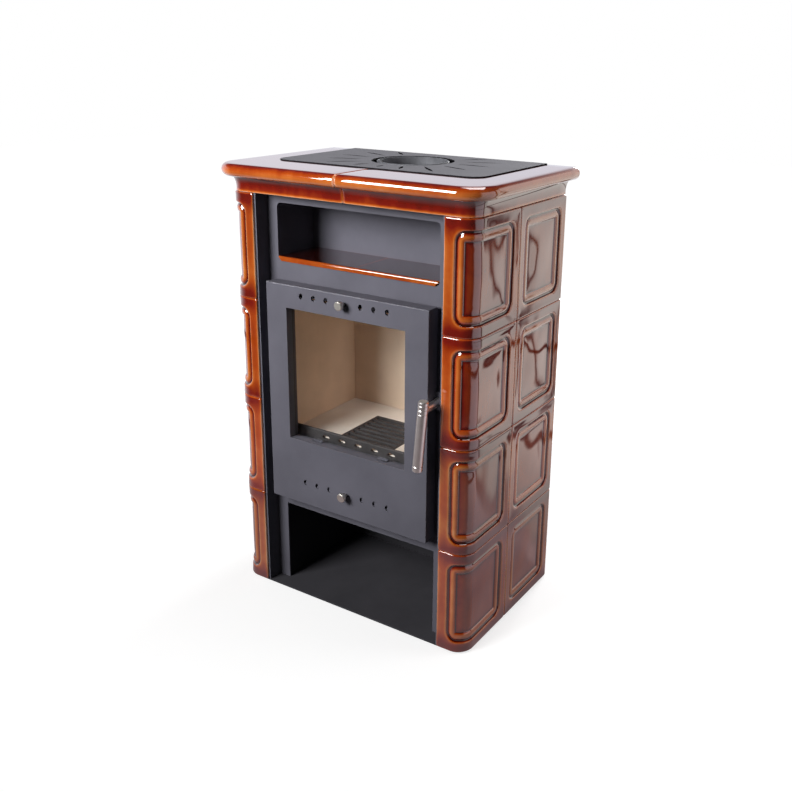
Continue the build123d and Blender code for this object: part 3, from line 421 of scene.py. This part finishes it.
# ------------------------------------------------------------------ tiles
# Relief of a tile: distance from its border, depth below the glazed face and glaze value there.
RELIEF = (
    (0.0, 2.6, 0.97), (0.3, 1.35, 0.97), (0.9, 0.6, 0.95), (1.9, 0.15, 0.86), (3.2, 0.0, 0.72),
    (7.0, 0.0, 0.66), (13.0, 0.0, 0.64), (18.0, 0.0, 0.68), (20.3, 0.15, 0.84), (21.4, 0.75, 0.86),
    (22.4, 2.2, 0.56), (23.4, 4.0, 0.30), (24.5, 4.6, 0.22), (25.8, 4.35, 0.32), (27.2, 3.5, 0.52),
    (28.8, 2.75, 0.62), (30.8, 2.1, 0.74), (32.6, 1.85, 0.80), (34.4, 1.82, 0.80), (36.4, 2.05, 0.74),
    (38.4, 2.5, 0.7), (39.9, 3.05, 0.66), (41.0, 3.8, 0.6), (41.9, 4.6, 0.34), (43.0, 5.05, 0.26),
    (44.5, 5.15, 0.36), (48.0, 5.1, 0.48), (56.0, 4.9, 0.53),
)
RIM_PLACE = 21.5  # the panel's edge, from the border
OUTER_RADIUS = 2.6  # the tile's own corners
RELIEF_RADIUS = 43.5  # the panel's corners, if they reached out to the border
CORNER_STEPS = 6
CORNER_GRID = (36, 14)  # steps of the inner field across and up
SIDE_GRID = (16, 14)
CORNER_BEND = 36.0  # outer radius of the corner tile's bend

FIELD_DEPTH = 4.9
FIELD_THIN = 0.53
FIELD_RISE = 1.5
TILE_DEPTH = 22.0
BORDER_THIN = 0.4
END_POOLING = 0.33  # the glaze is thicker towards the upper and lower end
END_REACH = 42.0

# The face is pushed in by slow waves: their depth, their pitch per millimetre and the calm border.
WAVE = 0.55
WAVE_PITCH = 0.013
SWELL_SHARE = 0.35
SWELL_PITCH = 0.032
SWELL_SEED = 7.3
CALM_BORDER = 12.0
ROW_SEED, SIDE_SEED, SIDE_TILE_SEED = 3.7, 19.1, 50  # they give each tile waves of its own


def ring_radius(inset):
    """Corner radius of the relief line at a distance from the border."""
    if inset >= RIM_PLACE:
        return max(0.0, RELIEF_RADIUS - inset)
    share = inset / RIM_PLACE
    return OUTER_RADIUS + (RELIEF_RADIUS - RIM_PLACE - OUTER_RADIUS) * share


def ring(width, height, inset, steps):
    """Points along a rounded rectangle, counter-clockwise from its lower left corner."""
    radius = ring_radius(inset)
    reach = inset + radius
    right, top = width - reach, height - reach
    corners = ((reach, reach, 180), (right, reach, 270), (right, top, 0), (reach, top, 90))
    points = []
    for number, (x, y, start) in enumerate(corners):
        for step in range(CORNER_STEPS + 1):
            points.append(on_circle((x, y), radius, start + 90 * step / CORNER_STEPS))
        end = points[-1]
        x_next, y_next, start_next = corners[(number + 1) % len(corners)]
        goal = on_circle((x_next, y_next), radius, start_next)
        count = steps[number % 2]
        for step in range(1, count):
            share = step / count
            points.append((end[0] + (goal[0] - end[0]) * share, end[1] + (goal[1] - end[1]) * share))
    return points


def border_index(column, row, steps):
    """Place in the ring of a point on the border of the inner grid."""
    across, up = steps
    side_across = CORNER_STEPS + across
    side_up = CORNER_STEPS + up
    if row == 0 and column < across:
        return 0 if column == 0 else CORNER_STEPS + column
    if column == across and row < up:
        return side_across if row == 0 else side_across + CORNER_STEPS + row
    if row == up and column > 0:
        back = across - column
        return side_across + side_up + (0 if back == 0 else CORNER_STEPS + back)
    back = up - row
    return 2 * side_across + side_up + (0 if back == 0 else CORNER_STEPS + back)


def back_faces(first, count, steps):
    """Faces of the back: strips between the lower and the upper border, and two end pieces."""
    lower = [first + CORNER_STEPS + step for step in range(steps[0] + 1)]
    top_start = first + 2 * CORNER_STEPS + steps[0] + steps[1] + CORNER_STEPS
    upper = [top_start + step for step in range(steps[0] + 1)][::-1]
    faces = []
    for number in range(steps[0]):
        faces.append((lower[number], upper[number], upper[number + 1], lower[number + 1]))
    right = list(range(lower[-1], upper[-1] + 1))
    left = list(range(upper[0], first + count)) + list(range(first, lower[0] + 1))
    faces.append(tuple(reversed(right)))
    faces.append(tuple(reversed(left)))
    return faces


class Tile:
    """A closed tile laid out flat: points with their depth and glaze value, and its faces."""

    def __init__(self, width, height, steps):
        self.width, self.height, self.steps = width, height, steps
        self.count = 2 * (steps[0] + steps[1]) + 4 * CORNER_STEPS
        self.plan, self.depths, self.thin, self.faces = [], [], [], []
        self.add_relief()
        self.add_field()
        self.add_back()

    def add(self, point, depth, thin):
        self.plan.append(point)
        self.depths.append(depth)
        self.thin.append(thin)

    def add_relief(self):
        """One ring of points for each line of RELIEF, from the border inwards."""
        for inset, depth, thin in RELIEF:
            for point in ring(self.width, self.height, inset, self.steps):
                self.add(point, depth, thin)
        for level in range(len(RELIEF) - 1):
            low, high = level * self.count, (level + 1) * self.count
            for number in range(self.count):
                after = (number + 1) % self.count
                self.faces.append((low + number, low + after, high + after, high + number))

    def add_field(self):
        """A slightly domed grid inside the innermost ring."""
        across_steps, up_steps = self.steps
        inner = (len(RELIEF) - 1) * self.count
        inset = RELIEF[-1][0]
        grid = {}
        for row in range(up_steps + 1):
            for column in range(across_steps + 1):
                if row in (0, up_steps) or column in (0, across_steps):
                    grid[column, row] = inner + border_index(column, row, self.steps)
                    continue
                grid[column, row] = len(self.plan)
                across = inset + (self.width - 2 * inset) * column / across_steps
                up = inset + (self.height - 2 * inset) * row / up_steps
                dome = math.sin(math.pi * column / across_steps) * math.sin(math.pi * row / up_steps)
                self.add((across, up), FIELD_DEPTH - FIELD_RISE * dome, FIELD_THIN)
        for row in range(up_steps):
            for column in range(across_steps):
                lower = grid[column, row], grid[column + 1, row]
                upper = grid[column + 1, row + 1], grid[column, row + 1]
                self.faces.append(lower + upper)

    def add_back(self):
        """The straight borders, and the back that closes the tile."""
        first = len(self.plan)
        for number, point in enumerate(ring(self.width, self.height, 0.0, self.steps)):
            self.add(point, TILE_DEPTH, BORDER_THIN)
            after = (number + 1) % self.count
            self.faces.append((number, first + number, first + after, after))
        self.faces.extend(back_faces(first, self.count, self.steps))

    def inward(self, across, up, seed):
        """How far the waves push the glazed face in at a point."""
        wave = noise.noise(Vector((across * WAVE_PITCH, up * WAVE_PITCH, seed)))
        swell = noise.noise(Vector((across * SWELL_PITCH, up * SWELL_PITCH, seed + SWELL_SEED)))
        calm = min(1.0, min(across, up, self.width - across, self.height - up) / CALM_BORDER)
        return max(0.0, WAVE * calm * (1.0 + wave + SWELL_SHARE * swell))

    def mesh(self, name, place, seed):
        """The tile's mesh, bent and put in its place by place()."""
        points, thin = [], []
        for (across, up), depth, value in zip(self.plan, self.depths, self.thin):
            from_end = min(up, self.height - up)
            thin.append(value - END_POOLING * max(0.0, 1.0 - from_end / END_REACH))
            if depth < TILE_DEPTH:
                depth += self.inward(across, up, seed)
            points.append(place(across, up, depth))
        return mesh_from(name, points, self.faces, thin)


def corner_place(side, low, high):
    """Maps the flat corner tile onto the front, round the bend and along the side."""
    radius = CORNER_BEND
    straight = high.x - radius - low.x
    bend = radius * math.pi / 2
    centre = (high.x - radius, low.y + radius)

    def place(across, up, depth):
        if across < straight:
            x, y = low.x + across, low.y + depth
        elif across < straight + bend:
            x, y = round_corner(centre, radius - depth, math.degrees((across - straight) / radius))
        else:
            x, y = high.x - depth, low.y + radius + across - straight - bend
        return side * x, y, low.z + up

    return place, straight + bend + high.y - low.y - radius


def side_place(side, low, high):
    """Maps the flat side tile onto the stove's side."""

    def place(across, up, depth):
        return side * (high.x - depth), low.y + across, low.z + up

    return place, high.y - low.y


def glaze(number):
    """One of the glaze's tints, in turn."""
    return GLAZES[number % len(GLAZES)]


def make_tile(kind, number, row, layout, steps, seed, material):
    """One tile of the right or left side, laid out from the CAD tile of the right side."""
    name, side = SIDES[number]
    low, high = span(f"{kind}_tile_right_{row + 1}")
    place, width = layout(side, low, high)
    mesh = Tile(width, high.z - low.z, steps).mesh(f"{kind}_{name}_{row + 1}", place, seed)
    make_piece(f"{kind}_{name}_{row + 1}", mesh, material, f"{kind}_tile_{name}_{row + 1}")


def make_tiles():
    """Every corner and side tile as a relief mesh with its own wave and tint."""
    for row in range(ROWS):
        for number in range(len(SIDES)):
            seed = ROW_SEED * row + SIDE_SEED * number
            make_tile("corner", number, row, corner_place, CORNER_GRID, seed, glaze(row + number))
            seed += SIDE_TILE_SEED
            make_tile("side", number, row, side_place, SIDE_GRID, seed, glaze(row + 2 * number + 1))


# ------------------------------------------------------------------ cornice
NOSE_RADIUS = 13.0
NOSE_REACH = 15.5  # from the foot out to the centre of the nose
NOSE_STEPS = 18
NOSE_ARC = (-122, 90)
NOSE_UNDERSIDE = 240  # where on the nose the hollow below it ends, in degrees
COVE = 3.0  # depth of the hollow
COVE_END = (0.4, 0.6)  # the hollow's end lies this far inwards and down from the nose
NICK = (0.5, -0.2)  # and the nick between the two this far
COVE_STEPS = 8
TOP_EDGE = 8.0  # the profile ends this far inside the nose's centre, on the flat top
FOOT_EDGE = ((-1.6, 0.0, 0.9), (-0.6, 0.25, 0.95), (0.0, 0.9, 0.95), (0.15, 2.2, 0.8))

REBATE_EDGE = ((3.5, 0.0), (0.8, 0.0), (0.0, 0.5))  # outwards and down from its sharp upper edge
PLATE_GAP = 1.5  # round the top plate
PLATE_RADIUS = 32.0  # of the top plate's corners
LEDGE = 10.0  # width of the ledge that carries the top plate
SLAB = 16.0
WALL = 26.0

# Both ends of a half are rounded: distance from the end, and how far the section is shrunk there.
JOINT_EDGE = ((0.0, 3.6), (0.5, 2.4), (1.5, 1.2), (3.2, 0.35), (5.5, 0.0))
BACK_EDGE = ((2.2, 0.0), (1.0, 0.25), (0.35, 0.75), (0.0, 1.5))
SHRINK_UP = 0.6  # share of it that also goes up and down
FRONT_STEPS, BEND_STEPS, SIDE_STEPS = 12, 14, 10

# glaze pools in the hollow under the nose and in the nick; the darkening there towards the nose is also
# painted shade under the overhang
COVE_THIN, COVE_POOLING_AND_SHADE = 0.50, 0.22
NICK_POOLING_AND_SHADE = 0.05
NOSE_THIN, NOSE_CROWN, NOSE_LEAN = 0.43, 0.34, 1.15
TOP_THIN = 0.4
INSIDE_THIN = (0.4, 0.4, 0.6, 0.2, 0.2, 0.2, 0.2, 0.2)
END_GLOW = 0.35


def nose_thin(number):
    """Glaze value round the nose, thinnest on its crown; its first point, at the nick, takes the nick's
    dark value, partly painted shade.
    """
    if number == 0:
        return NICK_POOLING_AND_SHADE
    return NOSE_THIN + NOSE_CROWN * math.sin(math.pi * min(1.0, number / NOSE_STEPS * NOSE_LEAN))


def cornice_profile(rise):
    """Outside of the cornice from the foot up to the flat top: reach, height and glaze value."""
    profile = list(FOOT_EDGE)
    nose = (NOSE_REACH, rise - NOSE_RADIUS)
    under = on_circle(nose, NOSE_RADIUS, NOSE_UNDERSIDE)
    start, end = Vector(FOOT_EDGE[-1][:2]), Vector((under[0] - COVE_END[0], under[1] - COVE_END[1]))
    away = Vector((-(end - start).y, (end - start).x)).normalized()
    for step in range(1, COVE_STEPS + 1):
        share = step / COVE_STEPS
        point = start.lerp(end, share) + away * COVE * 4 * share * (1 - share)
        profile.append((point.x, point.y, COVE_THIN - COVE_POOLING_AND_SHADE * share))
    profile.append((under[0] - NICK[0], under[1] - NICK[1], NICK_POOLING_AND_SHADE))
    first, last = NOSE_ARC
    for number in range(NOSE_STEPS + 1):
        x, y = on_circle(nose, NOSE_RADIUS, first + (last - first) * number / NOSE_STEPS)
        profile.append((x, y, nose_thin(number)))
    profile.append((NOSE_REACH - TOP_EDGE, rise, TOP_THIN))
    return profile


class Cornice:
    """The right half: its sizes from the frame, its stations and its section at each of them."""

    def __init__(self):
        self.low, self.high = span("cornice_right")
        plate_low, plate_high = span("top_plate")
        tile_high = span("side_tile_right_4")[1]
        self.rise = self.high.z - self.low.z
        self.x_foot = self.high.x - NOSE_RADIUS - NOSE_REACH
        self.y_foot = self.low.y + NOSE_RADIUS + NOSE_REACH
        self.foot_radius = CORNER_BEND - (tile_high.x - self.x_foot)
        self.centre = (self.x_foot - self.foot_radius, self.y_foot + self.foot_radius)
        self.cut_radius = PLATE_RADIUS + PLATE_GAP
        x_cut, y_cut = plate_high.x + PLATE_GAP, plate_low.y - PLATE_GAP
        self.cut_centre = (x_cut - self.cut_radius, y_cut + self.cut_radius)
        self.z_ledge = plate_low.z - self.low.z
        self.z_slab = self.rise - SLAB
        self.profile = cornice_profile(self.rise)

    def stations(self):
        """Kind of each station, its place there (x, degrees or y) and the section's shrink."""
        made = [("front", self.low.x + after, shrink) for after, shrink in JOINT_EDGE]
        start, goal = self.low.x + JOINT_EDGE[-1][0], self.centre[0]
        for step in range(1, FRONT_STEPS + 1):
            made.append(("front", start + (goal - start) * step / FRONT_STEPS, 0.0))
        for step in range(1, BEND_STEPS):
            made.append(("bend", 90 * step / BEND_STEPS, 0.0))
        start, goal = self.centre[1], self.high.y - BACK_EDGE[0][0]
        for step in range(SIDE_STEPS + 1):
            made.append(("side", start + (goal - start) * step / SIDE_STEPS, 0.0))
        made += [("side", self.high.y - before, shrink) for before, shrink in BACK_EDGE[1:]]
        return made

    def outside(self, kind, value, out):
        """Place in plan at a station, out from the foot."""
        if kind == "front":
            return value, self.y_foot - out
        if kind == "bend":
            return round_corner(self.centre, self.foot_radius + out, value)
        return self.x_foot + out, value

    def rebate(self, kind, value, inward):
        """Place in plan at a station, inwards from the rebate that holds the top plate."""
        if kind == "front":
            x = stretched(value, self.low.x, self.centre[0], self.low.x, self.cut_centre[0])
            return x, self.cut_centre[1] - self.cut_radius + inward
        if kind == "bend":
            return round_corner(self.cut_centre, self.cut_radius - inward, value)
        y = stretched(value, self.centre[1], self.high.y, self.cut_centre[1], self.high.y)
        return self.cut_centre[0] + self.cut_radius - inward, y

    def section(self, kind, value, shrink):
        """Points round the whole section: outside, rebate, ledge, underside and inner wall."""
        foot, top = SHRINK_UP * shrink, self.rise - SHRINK_UP * shrink
        loop = []
        for out, up, _ in self.profile:
            loop.append((*self.outside(kind, value, out - shrink), max(min(up, top), foot)))
        for out, down in REBATE_EDGE:
            loop.append((*self.rebate(kind, value, -out), top - down))
        for inward, up in ((0.0, self.z_ledge), (LEDGE, self.z_ledge), (LEDGE, self.z_slab)):
            loop.append((*self.rebate(kind, value, inward), up))
        for up in (self.z_slab, foot):
            loop.append((*self.outside(kind, value, -WALL), up))
        return loop


def tube_faces(sections, count):
    """Faces between sections that have the same number of points, and over both ends."""
    faces = []
    for number in range(sections - 1):
        low, high = number * count, (number + 1) * count
        for step in range(count):
            after = (step + 1) % count
            faces.append((low + step, low + after, high + after, high + step))
    last = (sections - 1) * count
    faces.append(tuple(range(count)))
    faces.append(tuple(reversed(range(last, last + count))))
    return faces


def make_cornice():
    """Both halves: one section carried from the joint in front round the corner to the back."""
    cornice = Cornice()
    stations = cornice.stations()
    values = [thin for _, _, thin in cornice.profile] + list(INSIDE_THIN)
    loops, thin = [], []
    for kind, value, shrink in stations:
        loops += cornice.section(kind, value, shrink)
        glow = END_GLOW * min(1.0, shrink)
        thin += [min(1.0, item + glow) for item in values]
    faces = tube_faces(len(stations), len(values))
    for name, side in SIDES:
        points = [(side * x, y, z + cornice.low.z) for x, y, z in loops]
        mesh = mesh_from(f"cornice_{name}", points, faces, thin)
        make_piece(f"cornice_{name}_soft", mesh, GLAZES[0], f"cornice_{name}")


# ------------------------------------------------------------------ shelf, top plate and handle
NOSING = 3.5  # width of the shelf's pale edge, in millimetres
SHELF_THIN, NOSING_THIN = 0.12, 0.66
LEVEL = 0.9  # a face is level if its normal points up or down by more than this
SHELF_LEVEL = 0.99  # closer, because the rounded nosing starts out nearly level


def make_shelf():
    """The two shelf tiles with rounded edges, pale along the nosing."""
    for name in ("shelf_tile_right", "shelf_tile_left"):
        mesh = softened(name, 1.2, GLAZES[1], 3).data
        work = bmesh.new()
        work.from_mesh(mesh)
        top = [face for face in work.faces if face.normal.z > SHELF_LEVEL]
        bmesh.ops.inset_region(work, faces=top, thickness=NOSING * MM, use_even_offset=True)
        work.verts.index_update()
        middle = {vertex.index for face in top for vertex in face.verts}
        work.to_mesh(mesh)
        work.free()
        values = [SHELF_THIN if vertex.index in middle else NOSING_THIN for vertex in mesh.vertices]
        write_thin(mesh, values)


def make_plate():
    """The top plate; its edges and slot walls are near black, painted shade for the gap and the slots
    round them.
    """
    plate = softened("top_plate", 0.4, PLATE_PAINT)
    # upright faces get the near-black painted shade
    plate.data.materials.append(PLATE_EDGE_SHADE)
    for face in plate.data.polygons:
        face.material_index = 0 if abs(face.normal.z) > LEVEL else 1


def make_handle():
    """The turned grip and its stem; the sawn ends of the grip are duller than its polished side."""
    softened("handle_stem", 0.3, STEEL)
    grip = softened("handle_grip", 0.3, STEEL)
    grip.data.materials.append(STEEL_END)
    for face in grip.data.polygons:
        face.material_index = 1 if abs(face.normal.z) > LEVEL else 0


# ------------------------------------------------------------------ camera, light and ground
# The camera was fitted to straight edges of the stove in the photograph.
CAMERA_PLACE = Vector((1.0779, -1.5886, 1.1613))
CAMERA_YAW = 32.629
CAMERA_PITCH = 17.404
CAMERA_ROLL = 0.708
FOCAL_LENGTH = 42.79
SENSOR = 36.0
SHIFT = (-0.0312, -0.0666)

# What glossy rays see around the stove: compass direction in degrees, 0 towards +X, and its colour.
ROOM = (
    (-180, (0.90, 0.90, 0.92)), (-160, (0.45, 0.45, 0.46)), (-142, (0.03, 0.03, 0.03)),
    (-25, (0.03, 0.03, 0.03)), (-16, (0.80, 0.72, 0.76)), (0, (0.95, 0.80, 0.85)), (33, (1.0, 0.84, 0.88)),
    (36, (0.02, 0.02, 0.01)), (40, (0.02, 0.02, 0.01)), (43, (1.0, 0.96, 0.88)),
    (57, (1.0, 0.95, 0.89)), (57.6, (0.03, 0.02, 0.02)), (58.6, (0.03, 0.02, 0.02)),
    (59.2, (1.0, 0.95, 0.89)), (76, (1.0, 0.95, 0.89)), (77, (0.22, 0.18, 0.17)),
    (79, (0.95, 0.91, 0.87)), (112, (0.78, 0.78, 0.86)), (180, (0.90, 0.90, 0.95)),
)
ROOM_FADE = (0.34, 0.5)  # upward part of the direction where the room's walls end
CEILING_SHARE = 0.05
ROOM_BASE_LIGHT = 0.05

# Brightness of the ground in reflections by distance from the stove, in metres, with two dark seams.
GROUND_REACH = 4.0
GROUND_LEVELS = (
    (0.4, 0.10), (1.10, 0.75), (1.13, 0.03), (1.17, 0.03), (1.20, 0.80), (1.50, 0.95),
    (2.05, 1.0), (2.09, 0.03), (2.14, 0.03), (2.18, 1.0), (4.0, 1.0),
)
GROUND_SIZE = 9000  # from its middle to its edge, in millimetres
GROUND_COLOUR = (0.42, 0.42, 0.42)
GROUND_BOUNCE = (0.06, 0.06, 0.06)
GROUND_GLOW = (0.70, 1.0)  # what the camera gets on top of the lit ground, near the stove and far away
GLOW_RANGE = (0.8, 2.2)
GROUND_HAZE = (0.40, 0.32, 0.33)
HAZE_RANGE = (0.5, 1.6)
HAZE_IN_BRIGHT_ROOM = 0.4


def make_camera():
    data = bpy.data.cameras.new("camera")
    data.sensor_width = SENSOR
    data.lens = FOCAL_LENGTH
    data.shift_x, data.shift_y = SHIFT
    camera = bpy.data.objects.new("camera", data)
    bpy.context.scene.collection.objects.link(camera)
    turn = Matrix.Rotation(math.radians(CAMERA_YAW), 4, "Z")
    tilt = Matrix.Rotation(math.radians(90 - CAMERA_PITCH), 4, "X")
    roll = Matrix.Rotation(math.radians(CAMERA_ROLL), 4, "Z")
    camera.matrix_world = Matrix.Translation(CAMERA_PLACE) @ turn @ tilt @ roll
    bpy.context.scene.camera = camera


def make_lamp(name, place, aim, size, power, mirrored=True, spread=180):
    """A soft lamp aimed at a point; mirrored says whether glossy surfaces show it."""
    data = bpy.data.lights.new(name, "AREA")
    data.shape = "RECTANGLE"
    data.size, data.size_y = size
    data.energy = power
    data.spread = math.radians(spread)
    lamp = bpy.data.objects.new(name, data)
    bpy.context.scene.collection.objects.link(lamp)
    lamp.location = place
    lamp.rotation_euler = (Vector(aim) - Vector(place)).to_track_quat("-Z", "Y").to_euler()
    lamp.visible_camera = False
    lamp.visible_glossy = mirrored


def room_colour(n, direction):
    """Colour of the room by compass direction, the same for the ground and for the world above it."""
    around = n.node("TexGradient", {"Vector": direction}, gradient_type="RADIAL").outputs["Fac"]
    return n.ramp(around, *(((angle + 180) / 360, colour) for angle, colour in ROOM))


def seen_directly(n):
    """One for rays that come from the camera, straight or through glass."""
    path = n.node("LightPath")
    return n.math("MAXIMUM", path.outputs["Is Camera Ray"], path.outputs["Is Transmission Ray"])


def make_surround():
    """World: white to the camera, the room to glossy rays, and a dim even light for the rest."""
    world = bpy.data.worlds.new("surround")
    bpy.context.scene.world = world
    world.use_nodes = True
    w = Nodes(world.node_tree, "World")
    direction = w.node("TexCoord").outputs["Generated"]
    height = w.node("SeparateXYZ", {0: direction}).outputs["Z"]
    walls = w.remap(height, *ROOM_FADE, 1.0, CEILING_SHARE, interpolation_type="SMOOTHSTEP")
    room = w.mix(walls, (0.0, 0.0, 0.0), room_colour(w, direction))
    glossy = w.node("LightPath").outputs["Is Glossy Ray"]
    base = (ROOM_BASE_LIGHT, ROOM_BASE_LIGHT, ROOM_BASE_LIGHT)
    colour = w.mix(glossy, base, room)
    colour = w.mix(seen_directly(w), colour, (1.0, 1.0, 1.0))
    w.end(w.node("Background", {"Color": colour, "Strength": 1.0}))


def mirrored_ground(s, place, distance):
    """The ground as glossy rays see it: the room's colour, with seams, and a haze near the stove."""
    stops = ((reach / GROUND_REACH, (level, level, level)) for reach, level in GROUND_LEVELS)
    level = s.ramp(s.math("DIVIDE", distance, GROUND_REACH), *stops)
    room = room_colour(s, place)
    far = s.node("Emission", {"Color": room, "Strength": level})
    dimmed = s.remap(room, 0.0, 0.9, 1.0, HAZE_IN_BRIGHT_ROOM)
    haze = s.math("MULTIPLY", dimmed, s.remap(distance, *HAZE_RANGE, 1.0, 0.0))
    close = s.node("Emission", {"Color": GROUND_HAZE, "Strength": haze})
    return s.node("AddShader", {0: far, 1: close})


def ground_material():
    """Pale ground that keeps the shadow, and shows glossy rays the room instead."""
    material, s = new_material("ground")
    place = s.node("TexCoord").outputs["Object"]
    distance = s.node("VectorMath", {0: place}, operation="LENGTH").outputs["Value"]
    glow = s.math("MULTIPLY", seen_directly(s), s.remap(distance, *GLOW_RANGE, *GROUND_GLOW))
    bounce = s.node("LightPath").outputs["Is Diffuse Ray"]
    lit = s.node("BsdfDiffuse", {"Color": s.mix(bounce, GROUND_COLOUR, GROUND_BOUNCE)})
    white = s.node("Emission", {"Color": (1.0, 1.0, 1.0), "Strength": glow})
    seen = s.node("AddShader", {0: lit, 1: white})
    mirrored = mirrored_ground(s, place, distance)
    path = s.node("LightPath")
    s.end(s.node("MixShader", {0: path.outputs["Is Glossy Ray"], 1: seen, 2: mirrored}))
    return material


def make_ground():
    """A flat square under the stove."""
    edge = GROUND_SIZE
    corners = [(-edge, -edge, 0), (edge, -edge, 0), (edge, edge, 0), (-edge, edge, 0)]
    mesh = mesh_from("ground", corners, [(0, 1, 2, 3)])
    ground = bpy.data.objects.new("ground", mesh)
    bpy.context.scene.collection.objects.link(ground)
    mesh.materials.append(ground_material())


bpy.context.scene.view_settings.view_transform = "Standard"
make_camera()
make_surround()
make_ground()
make_lamp("key", (-0.93, -2.1, 1.62), (-0.12, -0.1, 1.0), (1.15, 1.0), 21.5, spread=85)
make_lamp("top", (0.3, 0.3, 2.7), (0, 0, 0.9), (1.4, 1.0), 22)
make_lamp("side", (2.1, 1.35, 1.0), (0.3, 0, 0.45), (1.2, 1.2), 24, mirrored=False)
make_lamp("back", (0.0, 2.6, 1.5), (0, 0.2, 0.5), (0.5, 0.5), 45)

# ------------------------------------------------------------------ the stove
make_tiles()
make_cornice()
make_shelf()
for node, width in (("front_frame", 0.7), ("hinge_arms", 0.5), ("latch_keeper", 0.5)):
    softened(node, width, PAINT)
# its rounded edges carry the painted highlight
softened("door_pan", 1.2, PAINT, rim=PAINT_HIGHLIGHT_RIM)
# the base plate in the darker paint that stands for shade
softened("base_plate", 0.5, BASE_PAINT_SHADED)
make_plate()
softened("flue_collar", 0.6, COLLAR_IRON)
softened("grate", 0.8, IRON)
softened("log_guard", 0.4, IRON)
# the hearth in the lighter clay that carries painted light
softened("hearth_stone", 1.2, HEARTH_CLAY_LIT)
for node in ("brick_right", "brick_left", "brick_back", "baffle"):
    softened(node, 1.2, CLAY)
for node in ("upper_knob", "lower_knob"):
    softened(node, 0.3, SATIN)
make_handle()
paint(PAINT, "side_wall_right", "side_wall_left", "back_wall", "door_frame", "tile_rails", "niche_box")
paint(PAINT, "upper_slider", "lower_slider")
paint(PAINT_DARK, "inner_body", "smoke_chamber", "ash_pan")
paint(GLASS, "door_glass")
paint(ROPE, "glass_gasket", "door_gasket")
paint(CLIP_STEEL, "glass_clips")
paint(ZINC, "slider_guides", "hinge_pins", "hinge_screws", "latch_bush", "latch_tongue")
